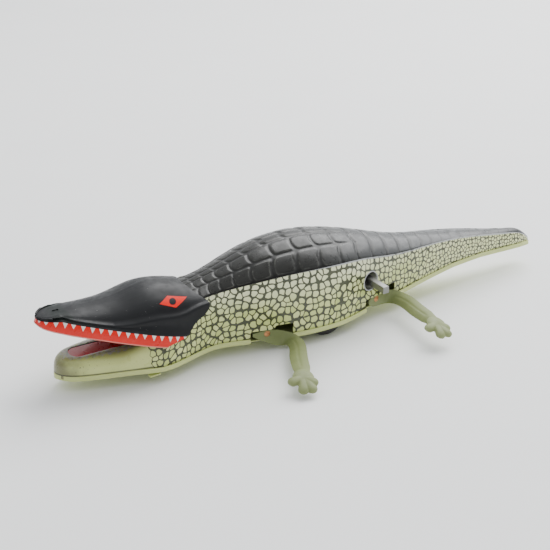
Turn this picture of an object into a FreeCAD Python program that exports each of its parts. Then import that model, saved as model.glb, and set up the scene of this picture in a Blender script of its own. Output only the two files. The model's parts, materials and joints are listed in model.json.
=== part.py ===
import FreeCAD, Part
import math
import os
import Sketcher
from FreeCAD import Base

# Clockwork tinplate crocodile. Millimetres, +Z up, nose towards -X, tail towards +X.
# The origin is on the floor under the middle of the toy, and its left flank faces -Y.

Vec = Base.Vector
doc = FreeCAD.newDocument("clockwork_crocodile")
sheet = doc.addObject("Spreadsheet::Sheet", "dimensions")

DIMENSIONS = {
    # sheet metal of the body
    "skin": 0.5, "pan_rim": 2.4, "pan_gap": 0.4, "floor_height": 6.0, "jaw_top": 14.5, "jaw_round": 2.0,
    # jaw hinge, its lever, and the angle that the mouth stands open at rest
    "jaw_pin_x": -80.0, "jaw_pin_z": 31.0, "jaw_pin_radius": 1.2, "jaw_pin_half": 16.6,
    "mouth_angle": 15.0, "lever_length": 10.0, "small_pin": 0.8,
    # clockwork frame
    "plate_inside": 10.0, "plate_sheet": 0.8, "pillar_radius": 1.2, "running_gap": 0.05,
    # clockwork train
    "tooth_module": 0.6, "arbor_x": 24.4, "arbor_z": 23.9, "arbor_radius": 2.0, "arbor_square": 3.6,
    "arbor_end": 33.2, "arbor_hole": 5.0, "second_x": 8.48, "second_z": 20.86, "second_radius": 1.2,
    "governor_x": 0.0, "governor_z": 31.04, "governor_radius": 0.8, "cam_radius": 4.0,
    # wheels
    "axle_x": -2.0, "wheel_radius": 11.0, "axle_radius": 1.5, "hub_radius": 8.0, "wheel_width": 4.0,
    "wheel_inside": 16.0, "roller_x": -97.0, "roller_radius": 5.0, "roller_width": 6.0,
    "roller_axle": 0.9,
    # legs, and the links that rock them
    "leg_sheet": 0.8, "leg_width": 8.5, "swing": 14.0, "lug_height": 8.0, "rivet_radius": 1.0,
    "rivet_head": 1.8, "link_sheet": 0.6, "link_width": 2.6, "crank_radius": 4.5, "crank_inside": 11.3,
    "front_link_y": 14.4, "rear_link_y": 13.5,
    "front_rivet_x": -38.0, "front_rivet_y": 19.2, "front_rivet_z": 9.8, "front_plan": 11.0,
    "rear_rivet_x": 30.0, "rear_rivet_y": 17.2, "rear_rivet_z": 11.5, "rear_plan": -11.0,
}
for row, (alias, value) in enumerate(DIMENSIONS.items(), start=1):
    sheet.set(f"A{row}", alias)
    sheet.set(f"B{row}", str(value))
    sheet.setAlias(f"B{row}", alias)
doc.recompute()


def dim(alias):
    """A driving dimension, read back from the sheet."""
    return float(sheet.get(alias))


def cell(text):
    """An expression on the sheet: each alias in the spaced-out text gets the sheet's name in front."""
    return " ".join(f"dimensions.{word}" if word in DIMENSIONS else word for word in text.split())


def value_of(text):
    """The number that such an expression stands for."""
    return sum(_term(term) for term in text.replace(" - ", " + -").split(" + "))


def _term(term):
    sign = -1.0 if term.startswith("-") else 1.0
    word = term.lstrip("-").strip()
    return sign * (dim(word) if word in DIMENSIONS else float(word))


SUBPARTS = []


def keep(thing, label):
    """Marks an object of the document as a sub-part: its label names its file."""
    thing.Label = label
    SUBPARTS.append(thing)
    return thing


def feature(label, shape):
    """A sub-part whose shape is made with Part's own functions."""
    thing = doc.addObject("Part::Feature", label)
    thing.Shape = shape
    thing.Placement = shape.Placement
    return keep(thing, label)


def rod(name, radius, length, x, y, z):
    """A cylinder along +Y from (x, y, z). Every argument but the name is an expression."""
    thing = doc.addObject("Part::Cylinder", name)
    thing.setExpression("Radius", cell(radius))
    thing.setExpression("Height", cell(length))
    thing.Placement = Base.Placement(Vec(), Base.Rotation(Vec(1, 0, 0), -90))
    for axis, text in zip("xyz", (x, y, z)):
        thing.setExpression(f".Placement.Base.{axis}", cell(text))
    return thing


def joined(label, pieces):
    """Part primitives joined, or kept together as a group, under one name."""
    thing = doc.addObject("Part::MultiFuse", label)
    thing.Shapes = pieces
    return keep(thing, label)


def cut(label, base, tool):
    thing = doc.addObject("Part::Cut", label)
    thing.Base = base
    thing.Tool = tool
    return keep(thing, label)


def plate(label, outline, holes, thickness, y):
    """A plate in an XZ plane: a sketched outline with round holes, padded towards +Y from y.

    outline is a list of (x, z) corners; a hole is (x, z, radius) in expressions, as y is."""
    body = doc.addObject("PartDesign::Body", label)
    sketch = body.newObject("Sketcher::SketchObject", f"{label}_sketch")
    plane = next(f for f in body.Origin.OriginFeatures if f.Role == "XZ_Plane")
    sketch.AttachmentSupport = (plane, [""])
    sketch.MapMode = "FlatFace"
    corners = [Vec(x, z, 0) for x, z in outline]
    for start, end in zip(corners, corners[1:] + corners[:1]):
        sketch.addGeometry(Part.LineSegment(start, end), False)
    for i in range(len(corners)):
        sketch.addConstraint(Sketcher.Constraint("Coincident", i, 2, (i + 1) % len(corners), 1))
    for x, z, radius in holes:
        circle = Part.Circle(Vec(value_of(x), value_of(z), 0), Vec(0, 0, 1), value_of(radius))
        index = sketch.addGeometry(circle, False)
        number = sketch.addConstraint(Sketcher.Constraint("Radius", index, value_of(radius)))
        sketch.setExpression(f"Constraints[{number}]", cell(radius))
    pad = body.newObject("PartDesign::Pad", f"{label}_pad")
    pad.Profile = sketch
    pad.setExpression("Length", cell(thickness))
    pad.Reversed = True
    body.Tip = pad
    body.setExpression(".Placement.Base.y", cell(y))
    return keep(body, label)


def disc(x, z, radius, y_low, y_high):
    """A solid disc about an axis along Y."""
    return Part.makeCylinder(radius, y_high - y_low, Vec(x, y_low, z), Vec(0, 1, 0))


def slab(x_low, x_high, y_low, y_high, z_low, z_high):
    return Part.makeBox(x_high - x_low, y_high - y_low, z_high - z_low, Vec(x_low, y_low, z_low))


def mirrored(shape):
    """The same shape on the other side of the toy's middle plane."""
    return shape.mirror(Vec(), Vec(0, 1, 0))


# --- body shell: back, flanks, neck and lower jaw in one pressing ---------------------------------

SKIN = dim("skin")
FOOT = dim("floor_height") + SKIN + 0.1

# x, half width at the foot, half width at the crease, crease height, ridge height, rise of the foot
BODY = [
    (-95, 20.7, 17.5, 29.5, 34.5, 0), (-85, 18.8, 16.4, 33.0, 37.0, 0), (-75, 15.8, 14.8, 34.7, 38.3, 0),
    (-65, 13.7, 13.3, 35.5, 40.6, 0), (-53, 15.9, 15.5, 37.2, 44.0, 0), (-40, 19.5, 18.9, 38.9, 48.1, 0),
    (-25, 22.5, 21.6, 40.1, 51.1, 0), (-10, 24.2, 23.2, 40.1, 51.7, 0), (5, 23.7, 22.8, 39.2, 49.9, 0.1),
    (20, 20.6, 19.8, 37.3, 46.6, 1.0), (35, 17.2, 16.6, 34.2, 42.3, 2.0), (50, 14.1, 13.6, 31.9, 37.8, 3.0),
    (70, 10.3, 10.0, 30.6, 33.9, 4.8), (90, 7.4, 7.3, 28.9, 30.7, 6.6), (110, 5.2, 5.2, 25.8, 27.3, 6.8),
    (130, 3.6, 3.6, 22.3, 23.8, 5.7), (144, 2.5, 2.5, 18.6, 20.1, 5.2), (149.2, 1.3, 1.3, 14.9, 15.8, 4.9),
]
# x, half width of the lower jaw in front of the neck
JAW = [(-141.6, 3.4), (-139, 6.2), (-135, 8.6), (-128, 11.2), (-121, 13.3), (-108, 17.2), (-95, 20.7)]
JAW_TIP = -142.6
FLANK_BULGE = 0.025


def body_section(x, foot, crease, crease_z, ridge_z, foot_z):
    """The closed outline of the body at x: a flat foot, two bulging flanks and an arched back."""
    bulge = FLANK_BULGE * (crease_z - foot_z)
    middle = ((foot + crease) / 2 + bulge, (crease_z + foot_z) / 2)
    foot_l, crease_l = Vec(x, -foot, foot_z), Vec(x, -crease, crease_z)
    foot_r, crease_r = Vec(x, foot, foot_z), Vec(x, crease, crease_z)
    return Part.Wire([
        Part.Arc(foot_l, Vec(x, -middle[0], middle[1]), crease_l).toShape(),
        Part.Arc(crease_l, Vec(x, 0, ridge_z), crease_r).toShape(),
        Part.Arc(crease_r, Vec(x, middle[0], middle[1]), foot_r).toShape(),
        Part.LineSegment(foot_r, foot_l).toShape(),
    ])


def body_loft(inset, drop):
    """The body from neck to tail, drawn in by inset and with its foot lowered by drop."""
    wires = []
    for x, foot, crease, crease_z, ridge_z, rise in BODY:
        if x == BODY[0][0]:
            x += inset
        if x == BODY[-1][0]:
            x -= inset
        wires.append(body_section(x, foot - inset, crease - inset, crease_z - 0.3 * inset,
                                  ridge_z - inset, FOOT + rise - drop))
    return Part.makeLoft(wires, True)


def plan_wire(points, tip_x, z):
    """A closed plan outline: one smooth curve round the tip through points and their mirror, and a straight end."""
    right = [Vec(x, y, z) for x, y in points]
    left = [Vec(x, -y, z) for x, y in points]
    curve = Part.BSplineCurve()
    curve.interpolate(left[::-1] + [Vec(tip_x, 0, z)] + right)
    knots = curve.getKnots()
    spans = [curve.toShape(start, end) for start, end in zip(knots, knots[1:])]
    return Part.Wire(spans + [Part.LineSegment(right[-1], left[-1]).toShape()])


def jaw_wire(inset, z):
    """The lower jaw's plan outline, drawn in by inset; a deep inset leaves out the narrow tip's points."""
    outline = [(x, y - inset) for x, y in JAW if y > inset + 1.2] + [(-90, 19.6 - inset)]
    return plan_wire(outline, JAW_TIP + inset * 1.6, z)


def jaw_prism(inset, z_low, z_high):
    return Part.Face(jaw_wire(inset, z_low)).extrude(Vec(0, 0, z_high - z_low))


def jaw_block():
    """The lower jaw as a solid: rounded rim, and a mouth floor pressed in below it."""
    top, curl, steps = dim("jaw_top"), dim("jaw_round"), 4
    wires = [jaw_wire(0, FOOT)]
    for i in range(steps + 1):
        angle = math.pi / 2 * i / steps
        wires.append(jaw_wire(curl * (1 - math.cos(angle)), top - curl * (1 - math.sin(angle))))
    block = Part.makeLoft(wires, True, True)
    return block.cut(jaw_prism(MOUTH_INSET, top - MOUTH_DEPTH, top + 1))


MOUTH_INSET = 4.2
MOUTH_DEPTH = 0.9


def leg_frame(end, side):
    """Placement of a leg's own frame: origin on the rivet at the plate's outer face, -Y outwards."""
    sign = 1 if side == "left" else -1
    place = Vec(dim(f"{end}_rivet_x"), -dim(f"{end}_rivet_y"), dim(f"{end}_rivet_z"))
    turn = Base.Rotation(Vec(0, 0, 1), -dim(f"{end}_plan"))
    return Base.Placement(place, turn), sign


def set_in(shape, end, side):
    """A shape drawn in a left leg's own frame, put in its place on the left or the right."""
    place, sign = leg_frame(end, side)
    moved = shape.copy()
    moved.Placement = place.multiply(moved.Placement)
    return moved if sign > 0 else mirrored(moved)


ARCH_TOP = {"front": 4.2, "rear": 6.0}


def leg_arch(end):
    """The cut-out in flank and pan rim for one leg, in the leg's own frame."""
    rivet_z = dim(f"{end}_rivet_z")
    low = slab(-9.0, 13.5, -12, 1.0, -rivet_z, 2.4)
    high = slab(3.5, 13.5, -12, 1.0, 0, ARCH_TOP[end])
    return low.fuse(high)


def body_shell():
    outer = body_loft(0, 0).fuse(jaw_block())
    hollow = body_loft(SKIN, 5)
    jaw_hollow = jaw_prism(SKIN, 0, dim("jaw_top") - MOUTH_DEPTH - SKIN)
    shell = outer.cut(hollow).cut(jaw_hollow)
    throat_slot = slab(-96, -76.5, -1.2, 1.2, 28, 42).fuse(slab(-96, -93, -1.2, 1.2, 16, 30))
    pin_hole = disc(dim("jaw_pin_x"), dim("jaw_pin_z"), dim("jaw_pin_radius") + 0.05, -25, 25)
    arbor_hole = disc(dim("arbor_x"), dim("arbor_z"), dim("arbor_hole"), -30, 0)
    shell = shell.cut(throat_slot).cut(pin_hole).cut(arbor_hole)
    for end in ("front", "rear"):
        for side in ("left", "right"):
            shell = shell.cut(set_in(leg_arch(end), end, side))
    return shell


# --- belly pan -------------------------------------------------------------------------------------

def belt(lift, height):
    """Everything between the underside raised by lift and height above that, over the toy's width."""
    line = [(-150, 0)] + [(x, rise) for x, *_, rise in BODY if x > -20] + [(155, BODY[-1][-1])]
    low = [Vec(x, -40, dim("floor_height") + lift + rise) for x, rise in line]
    high = [point + Vec(0, 0, height) for point in reversed(low)]
    face = Part.Face(Part.makePolygon(low + high + low[:1]))
    return face.extrude(Vec(0, 80, 0))


def belly_plan(outset, z_low, z_high):
    """A prism of the toy's plan outline, outset from the body shell's foot."""
    outline = [(x, y + outset) for x, y in JAW] + [(x, foot + outset) for x, foot, *_ in BODY[1:]]
    return Part.Face(plan_wire(outline, JAW_TIP - outset, z_low)).extrude(Vec(0, 0, z_high - z_low))


def belly_pan():
    gap, rim = dim("pan_gap"), dim("pan_rim")
    tray = belly_plan(gap + SKIN, 0, 30).common(belt(0, rim))
    tray = tray.cut(belly_plan(gap, 0, 30).common(belt(SKIN, rim + 2)))
    reach = dim("wheel_radius") + 0.8
    wheel_x, inside = dim("axle_x"), dim("wheel_inside")
    outside = inside + dim("wheel_width")
    for sign in (-1, 1):
        low, high = sorted((sign * (inside - 1), sign * (outside + 1)))
        tray = tray.cut(slab(wheel_x - reach, wheel_x + reach, low, high, 0, 12))
    roller = dim("roller_radius") + 1.2
    tray = tray.cut(slab(dim("roller_x") - roller, dim("roller_x") + roller, -4.3, 4.3, 0, 12))
    for end in ("front", "rear"):
        for side in ("left", "right"):
            tray = tray.cut(set_in(leg_arch(end), end, side))
    for x_low, x_high in MOTOR_TABS:
        for y in (-dim("plate_inside") - dim("plate_sheet"), dim("plate_inside")):
            tray = tray.cut(slab(x_low - 0.1, x_high + 0.1, y - 0.1, y + dim("plate_sheet") + 0.1, 0, 9))
    return tray


MOTOR_TABS = ((-9, -5), (0, 4))


def roller_fork():
    """The bent fork that carries the small roller under the throat."""
    x, z = dim("roller_x"), dim("roller_radius")
    floor = dim("floor_height") + SKIN
    ear = slab(x - 3, x + 3, -4.1, -3.5, z - 2, floor + 0.6)
    flange = slab(x - 3, x + 3, -9, -3.5, floor, floor + 0.6)
    one = ear.fuse(flange).cut(disc(x, z, dim("roller_axle") + 0.05, -12, 12))
    bridge = slab(x + 5.6 + 1, x + 8.6 + 1, -9, 9, floor, floor + 0.6)
    arms = slab(x + 2, x + 9.6, -9, -6, floor, floor + 0.6)
    return one.fuse([mirrored(one), bridge, arms, mirrored(arms)]).removeSplitter()


# --- head: the hinged upper jaw --------------------------------------------------------------------

# With the mouth shut: x, lip half width, lip height, cheek half width, cheek height, crest height
HEAD = [
    (-149.7, 3.2, 17.6, 2.6, 20.4, 21.0), (-148, 5.8, 17.4, 5.0, 21.5, 22.8),
    (-144, 8.6, 17.1, 7.6, 22.0, 24.8), (-136, 12.2, 16.7, 11.0, 22.2, 27.6),
    (-124, 15.8, 16.2, 14.6, 22.6, 29.8), (-112, 19.2, 15.8, 17.6, 24.2, 33.6),
    (-100, 21.8, 15.5, 19.4, 27.8, 39.6), (-92, 22.5, 15.3, 19.8, 30.2, 41.2),
    (-84, 22.4, 15.2, 19.4, 33.0, 41.8), (-76, 21.6, 15.2, 18.6, 35.2, 41.6),
    (-66, 20.6, 15.2, 17.8, 36.0, 41.2),
]


def head_section(x, lip, lip_z, cheek, cheek_z, crest_z):
    left, right = Vec(x, -cheek, cheek_z), Vec(x, cheek, cheek_z)
    low_l, low_r = Vec(x, -lip, lip_z), Vec(x, lip, lip_z)
    return Part.Wire([
        Part.LineSegment(low_l, left).toShape(),
        Part.Arc(left, Vec(x, 0, crest_z), right).toShape(),
        Part.LineSegment(right, low_r).toShape(),
        Part.LineSegment(low_r, low_l).toShape(),
    ])


def head_loft(inset, drop):
    wires = []
    for x, lip, lip_z, cheek, cheek_z, crest_z in HEAD:
        if x == HEAD[0][0]:
            x += inset
        wires.append(head_section(x, lip - inset, lip_z - drop, cheek - inset, cheek_z - 0.4 * inset,
                                  crest_z - inset))
    return Part.makeLoft(wires, True)


def opened(shape):
    """Turns a shape of the shut head about the jaw pin to the open mouth of the rest pose."""
    turned = shape.copy()
    turned.rotate(Vec(dim("jaw_pin_x"), 0, dim("jaw_pin_z")), Vec(0, 1, 0), dim("mouth_angle"))
    return turned


def head_shell():
    shell = head_loft(0, 0).cut(head_loft(SKIN, 4))
    edge = Part.BSplineCurve()
    edge.interpolate([Vec(x, -30, z) for x, z in
                      ((-91.8, 12), (-90.5, 16), (-82.6, 20), (-77.2, 26), (-72, 31.5), (-70.6, 37), (-73, 46))])
    back = Vec(-50, -30, 46)
    corner = Vec(-50, -30, 12)
    behind = Part.Face(Part.Wire([
        edge.toShape(), Part.LineSegment(edge.EndPoint, back).toShape(),
        Part.LineSegment(back, corner).toShape(), Part.LineSegment(corner, edge.StartPoint).toShape()]))
    shell = shell.cut(behind.extrude(Vec(0, 60, 0)))
    notch = Part.makeCylinder(18, 30, Vec(-61.5, 0, 34), Vec(0, 0, 1))
    return opened(shell.cut(notch))


def head_bracket():
    """The arm inside the head: a hub on the jaw pin, a lever down to the rod, a plate under the roof."""
    x, z = dim("jaw_pin_x"), dim("jaw_pin_z")
    half = 0.6
    lever_tip = lever_point(dim("mouth_angle") / 2)
    outline = [(x + 3, z), (x, z + 3), (-98, 38.0), (-107, 34.6), (-107, 32.6), (-96, 32.0), (x - 3, z - 1.5),
               (lever_tip.x - 1.6, lever_tip.z - 1.5), (lever_tip.x + 1.6, lever_tip.z - 1.5)]
    arm = Part.Face(Part.makePolygon([Vec(a, -half, b) for a, b in outline + outline[:1]]))
    arm = arm.extrude(Vec(0, 2 * half, 0))
    hub = disc(x, z, 2.4, -4, 4)
    slope = math.degrees(math.atan2(38.0 - 34.6, 9))
    roof = slab(-4.5, 4.5, -4, 4, 0, 0.8)
    roof.rotate(Vec(), Vec(0, 1, 0), -slope)
    roof.translate(Vec(-102.5, 0, 36.3))
    pin = disc(lever_tip.x, lever_tip.z, dim("small_pin"), -2.1, half)
    bore = disc(x, z, dim("jaw_pin_radius") + dim("running_gap"), -6, 6)
    return opened(arm.fuse([hub, roof, pin]).cut(bore).removeSplitter())


def lever_point(angle):
    """The end of the jaw lever, angle degrees behind the vertical under the jaw pin."""
    reach = dim("lever_length")
    tilt = math.radians(angle)
    return Vec(dim("jaw_pin_x") + reach * math.sin(tilt), 0, dim("jaw_pin_z") - reach * math.cos(tilt))


def jaw_rod():
    """The flat rod from the jaw lever to a ring beside the jaw cam."""
    start = lever_point(-dim("mouth_angle") / 2)
    ring_x, ring_z = dim("second_x") - jaw_throw(), dim("second_z")
    y_low, y_high = -1.5, -0.9
    strip = strip_between(start.x, start.z, ring_x, ring_z, 2.4, y_low, y_high)
    ring = disc(ring_x, ring_z, dim("cam_radius") + 1.4, y_low, y_high)
    eye = disc(start.x, start.z, 2.0, y_low, y_high)
    holes = disc(ring_x, ring_z, dim("cam_radius") + 0.15, -3, 1).fuse(
        disc(start.x, start.z, dim("small_pin") + 0.15, -3, 1))
    return strip.fuse([ring, eye]).cut(holes).removeSplitter()


def jaw_throw():
    return dim("lever_length") * math.sin(math.radians(dim("mouth_angle") / 2))


def strip_between(x1, z1, x2, z2, width, y_low, y_high):
    """A straight flat strip in an XZ plane between two points."""
    along = Vec(x2 - x1, 0, z2 - z1)
    length = along.Length
    box = Part.makeBox(length, y_high - y_low, width, Vec(0, y_low, -width / 2))
    box.rotate(Vec(), Vec(0, 1, 0), -math.degrees(math.atan2(along.z, along.x)))
    box.translate(Vec(x1, 0, z1))
    return box


# --- clockwork -------------------------------------------------------------------------------------

GREAT_TEETH, SECOND_PINION_TEETH, SECOND_TEETH = 44, 10, 36
DRIVE_TEETH, GOVERNOR_TEETH = 12, 8


def gear(x, z, teeth, phase, bore, y_low, y_high):
    """A spur wheel with straight-sided teeth. One tooth's middle is at the angle phase, in radians."""
    size = dim("tooth_module")
    pitch = size * teeth / 2
    tip, root = pitch + 0.75 * size, pitch - 1.1 * size
    step = 2 * math.pi / teeth
    corners = []
    for i in range(teeth):
        middle = phase + i * step
        for radius, share in ((root, -0.30), (tip, -0.11), (tip, 0.11), (root, 0.30)):
            angle = middle + share * step
            corners.append(Vec(x + radius * math.cos(angle), y_low, z + radius * math.sin(angle)))
    face = Part.Face(Part.makePolygon(corners + corners[:1]))
    return face.extrude(Vec(0, y_high - y_low, 0)).cut(disc(x, z, bore, y_low - 1, y_high + 1))


def bearing(a, b):
    """The angle, in the XZ plane, from point a to point b."""
    return math.atan2(b[1] - a[1], b[0] - a[0])


def gap_phase(angle, teeth, shift=0.0):
    """The phase that puts a gap, moved by shift teeth, at the angle that faces the mating wheel."""
    return angle + (0.5 + shift) * 2 * math.pi / teeth


ARBOR = (dim("arbor_x"), dim("arbor_z"))
SECOND = (dim("second_x"), dim("second_z"))
GOVERNOR = (dim("governor_x"), dim("governor_z"))
AXLE = (dim("axle_x"), dim("wheel_radius"))
PRESS = 0.02


def mesh_shift():
    """How far the second wheel's teeth are from facing the governor, when one faces the drive pinion."""
    turn = bearing(SECOND, GOVERNOR) - bearing(SECOND, AXLE)
    return (turn / (2 * math.pi / SECOND_TEETH)) % 1.0


def make_train():
    """Every toothed wheel, cam and crank, each pressed on its own arbor."""
    arbor_r, second_r, governor_r = dim("arbor_radius"), dim("second_radius"), dim("governor_radius")
    great = gear(*ARBOR, GREAT_TEETH, bearing(ARBOR, SECOND), arbor_r + dim("running_gap"), -8.5, -7.3)
    for i in range(5):
        angle = 2 * math.pi * i / 5
        great = great.cut(disc(ARBOR[0] + 8.6 * math.cos(angle), ARBOR[1] + 8.6 * math.sin(angle), 2.4, -9, -7))
    feature("great_wheel", great)
    feature("second_pinion", gear(*SECOND, SECOND_PINION_TEETH,
                                  gap_phase(bearing(SECOND, ARBOR), SECOND_PINION_TEETH),
                                  second_r + PRESS, -9.2, -6.8))
    feature("second_wheel", gear(*SECOND, SECOND_TEETH, bearing(SECOND, AXLE), second_r + PRESS, 7.3, 8.3))
    feature("drive_pinion", gear(*AXLE, DRIVE_TEETH, gap_phase(bearing(AXLE, SECOND), DRIVE_TEETH),
                                 dim("axle_radius") + PRESS, 6.7, 8.9))
    feature("governor_pinion", gear(*GOVERNOR, GOVERNOR_TEETH,
                                    gap_phase(bearing(GOVERNOR, SECOND), GOVERNOR_TEETH, mesh_shift()),
                                    governor_r + PRESS, 6.7, 8.9))
    cam = disc(SECOND[0] - jaw_throw(), SECOND[1], dim("cam_radius"), -3.0, -1.8)
    feature("jaw_cam", cam.cut(disc(*SECOND, second_r + PRESS, -4, 0)))
    for side, sign in (("left", -1), ("right", 1)):
        feature(f"crank_{side}", crank(sign))


def link_throw():
    """How far a lug pin moves each side of its middle, which is also the crank pins' throw."""
    return dim("lug_height") * math.sin(math.radians(dim("swing") / 2))


def crank(sign):
    """A disc on the end of the second arbor, with two opposite pins that face the links."""
    inside = dim("crank_inside")
    piece = disc(*SECOND, dim("crank_radius"), -inside - 1, -inside)
    pins = [disc(SECOND[0] + way * link_throw(), SECOND[1], dim("small_pin"), -dim("rear_link_y") + 0.3, -inside)
            for way in (-1, 1)]
    piece = piece.fuse(pins).cut(disc(*SECOND, dim("second_radius") + PRESS, -inside - 0.7, -inside + 1))
    return piece if sign < 0 else mirrored(piece)


def ratchet_wheel():
    x, z = ARBOR
    teeth, corners = 16, []
    for i in range(teeth):
        angle = 2 * math.pi * i / teeth
        corners.append(Vec(x + 5.2 * math.cos(angle), -6.9, z + 5.2 * math.sin(angle)))
        near = angle + 0.04
        corners.append(Vec(x + 4.2 * math.cos(near), -6.9, z + 4.2 * math.sin(near)))
    wheel = Part.Face(Part.makePolygon(corners + corners[:1])).extrude(Vec(0, 0.9, 0))
    return wheel.cut(disc(x, z, dim("arbor_radius") + PRESS, -8, -5))


def click():
    """The pawl on the great wheel, its nose standing clear of the ratchet's teeth."""
    x, z = ARBOR
    pivot = (x - 4.5, z + 6.6)
    nose = (x + 0.6, z + 5.7)
    body = disc(*pivot, 1.5, -6.9, -6.1)
    arm = strip_between(*pivot, *nose, 1.0, -6.9, -6.1)
    post = disc(*pivot, 0.7, -7.28, -6.5)
    return body.fuse([arm, post]).removeSplitter()


def mainspring():
    """Ribbon wound in a spiral about the winding arbor, its outer end bent round a pillar's side."""
    x, z = ARBOR
    turns, per_turn, ribbon = 5, 24, 0.35
    inner, outer = 2.8, 8.8

    def spiral(offset):
        count = turns * per_turn
        points = []
        for i in range(count + 1):
            angle = 2 * math.pi * i / per_turn
            radius = inner + (outer - inner) * i / count + offset
            points.append(Vec(x + radius * math.cos(angle), -5.0, z + radius * math.sin(angle)))
        curve = Part.BSplineCurve()
        curve.interpolate(points)
        return curve
    low, high = spiral(0), spiral(ribbon)
    ends = [Part.LineSegment(low.StartPoint, high.StartPoint).toShape(),
            Part.LineSegment(low.EndPoint, high.EndPoint).toShape()]
    face = Part.Face(Part.Wire(Part.__sortEdges__([low.toShape(), high.toShape()] + ends)))
    return face.extrude(Vec(0, 10, 0))


def governor_weights():
    """Two weights on a cross strip that spins with the governor's spindle."""
    x, z = GOVERNOR
    strip = slab(x - 5.4, x + 5.4, -0.5, 0.5, z - 1.2, z + 1.2).fuse(disc(x, z, 2.0, -2, 2))
    weights = [disc(x + way * 4.0, z, 1.8, -2.5, 2.5) for way in (-1, 1)]
    return strip.fuse(weights).cut(disc(x, z, dim("governor_radius") + PRESS, -4, 4)).removeSplitter()


def winding_arbor():
    """Round arbor with a square end that stands out of the left flank for the key."""
    x, z = ARBOR
    half = dim("arbor_square") / 2
    end = dim("arbor_end")
    square = slab(x - half, x + half, -end, -15.5, z - half, z + half)
    square = square.common(disc(x, z, dim("arbor_square") * 0.66, -end, -15.5))
    shoulder = disc(x, z, dim("arbor_radius"), -15.5, dim("plate_inside") + dim("plate_sheet"))
    return square.fuse(shoulder).removeSplitter()


def make_motor():
    wide, thick, gap = dim("plate_inside"), dim("plate_sheet"), dim("running_gap")
    (tab_a, tab_b), (tab_c, tab_d) = MOTOR_TABS
    outline = [(-13.5, 6.7), (tab_a, 6.7), (tab_a, 6.0), (tab_b, 6.0), (tab_b, 6.7), (tab_c, 6.7), (tab_c, 6.0),
               (tab_d, 6.0), (tab_d, 6.7), (6, 6.9), (36, 9.8), (42, 12.5), (42, 31), (33, 36.5), (-6, 40),
               (-13.5, 38)]
    holes = [("arbor_x", "arbor_z", "arbor_radius + running_gap"),
             ("second_x", "second_z", "second_radius + running_gap"),
             ("governor_x", "governor_z", "governor_radius + running_gap"),
             ("axle_x", "wheel_radius", "axle_radius + running_gap")]
    plate("motor_plate_left", outline, holes, "plate_sheet", "0 - plate_inside - plate_sheet")
    plate("motor_plate_right", outline, holes, "plate_sheet", "plate_inside")
    pillars = [rod(f"pillar_{i}", "pillar_radius", "2 * plate_inside", str(x), "0 - plate_inside", str(z))
               for i, (x, z) in enumerate(((-10.5, 14), (-10, 36), (38.8, 28), (36, 13)))]
    joined("motor_pillars", pillars)
    feature("winding_arbor", winding_arbor())
    feature("ratchet_wheel", ratchet_wheel())
    feature("click", click())
    feature("mainspring", mainspring())
    make_train()
    half = "plate_inside + plate_sheet + 0.5"
    keep(rod("second_arbor", "second_radius", "2 * plate_inside + 2 * plate_sheet + 1", "second_x",
             f"0 - {half.replace('+', '-')}", "second_z"), "second_arbor")
    keep(rod("governor_spindle", "governor_radius", "2 * plate_inside + 2 * plate_sheet", "governor_x",
             "0 - plate_inside - plate_sheet", "governor_z"), "governor_spindle")
    feature("governor_weights", governor_weights())


# --- wheels ----------------------------------------------------------------------------------------

def make_wheels():
    out = "wheel_inside + wheel_width + 0.6"
    keep(rod("drive_axle", "axle_radius", f"2 * wheel_inside + 2 * wheel_width + 1.2", "axle_x",
             f"0 - {out.replace('+', '-')}", "wheel_radius"), "drive_axle")
    for side, start in (("left", "0 - wheel_inside - wheel_width"), ("right", "wheel_inside")):
        disc_solid = rod(f"hub_disc_{side}", "hub_radius", "wheel_width", "axle_x", start, "wheel_radius")
        hub_bore = rod(f"hub_bore_{side}", "axle_radius + 0.02", "wheel_width", "axle_x", start, "wheel_radius")
        cut(f"wheel_hub_{side}", disc_solid, hub_bore)
        ring = rod(f"tyre_disc_{side}", "wheel_radius", "wheel_width", "axle_x", start, "wheel_radius")
        bore = rod(f"tyre_bore_{side}", "hub_radius + 0.02", "wheel_width", "axle_x", start, "wheel_radius")
        cut(f"tyre_{side}", ring, bore)
    keep(rod("roller_axle", "roller_axle", "9.2", "roller_x", "0 - 4.6", "roller_radius"), "roller_axle")
    solid = rod("roller_disc", "roller_radius", "roller_width", "roller_x", "0 - roller_width / 2", "roller_radius")
    bore = rod("roller_bore", "roller_axle + running_gap", "roller_width", "roller_x", "0 - roller_width / 2",
               "roller_radius")
    cut("front_roller", solid, bore)
    feature("roller_fork", roller_fork())


# --- legs and links --------------------------------------------------------------------------------

# Centre line of a left leg from shoulder to wrist, in its own frame: x, outward reach, height, then the
# direction of the strip's width and the strip's width there.
FRONT_LEG = [
    ((-7.6, 0, 0.3), (0, 0, 1), 1.6), ((-4.0, 0, -0.6), (0, 0, 1), 4.4), ((0, 0, -1.5), (0, 0, 1), 6.9),
    ((5.0, 0, -2.9), (0.3, 0, 1), 8.4), ((9.8, 1.4, -4.0), (0.5, 0.1, 0.86), 8.2),
    ((11.8, 6.2, -3.6), (0.9, 0.3, 0.45), 7.8), ((8.8, 20.0, -3.2), (0.93, 0.3, 0.2), 8.9),
    ((2.8, 41.8, -2.4), (0.94, 0.34, 0.05), 8.4),
]
REAR_LEG = [
    ((-5.6, 0, -0.6), (0, 0, 1), 2.6), ((-2.6, 0, -0.9), (0, 0, 1), 5.6), ((0, 0, -1.0), (0, 0, 1), 6.4),
    ((5.0, 0, -1.0), (0.15, 0, 1), 7.4), ((8.8, 1.6, -1.0), (0.4, 0.1, 0.9), 8.0),
    ((10.4, 7.0, -0.8), (0.8, 0.1, 0.6), 7.6), ((6.8, 21.0, -0.4), (0.88, 0.1, 0.45), 8.4),
    ((1.8, 38.2, 0.0), (0.94, 0.1, 0.3), 7.8),
]
PAW_DROOP = 24
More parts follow.
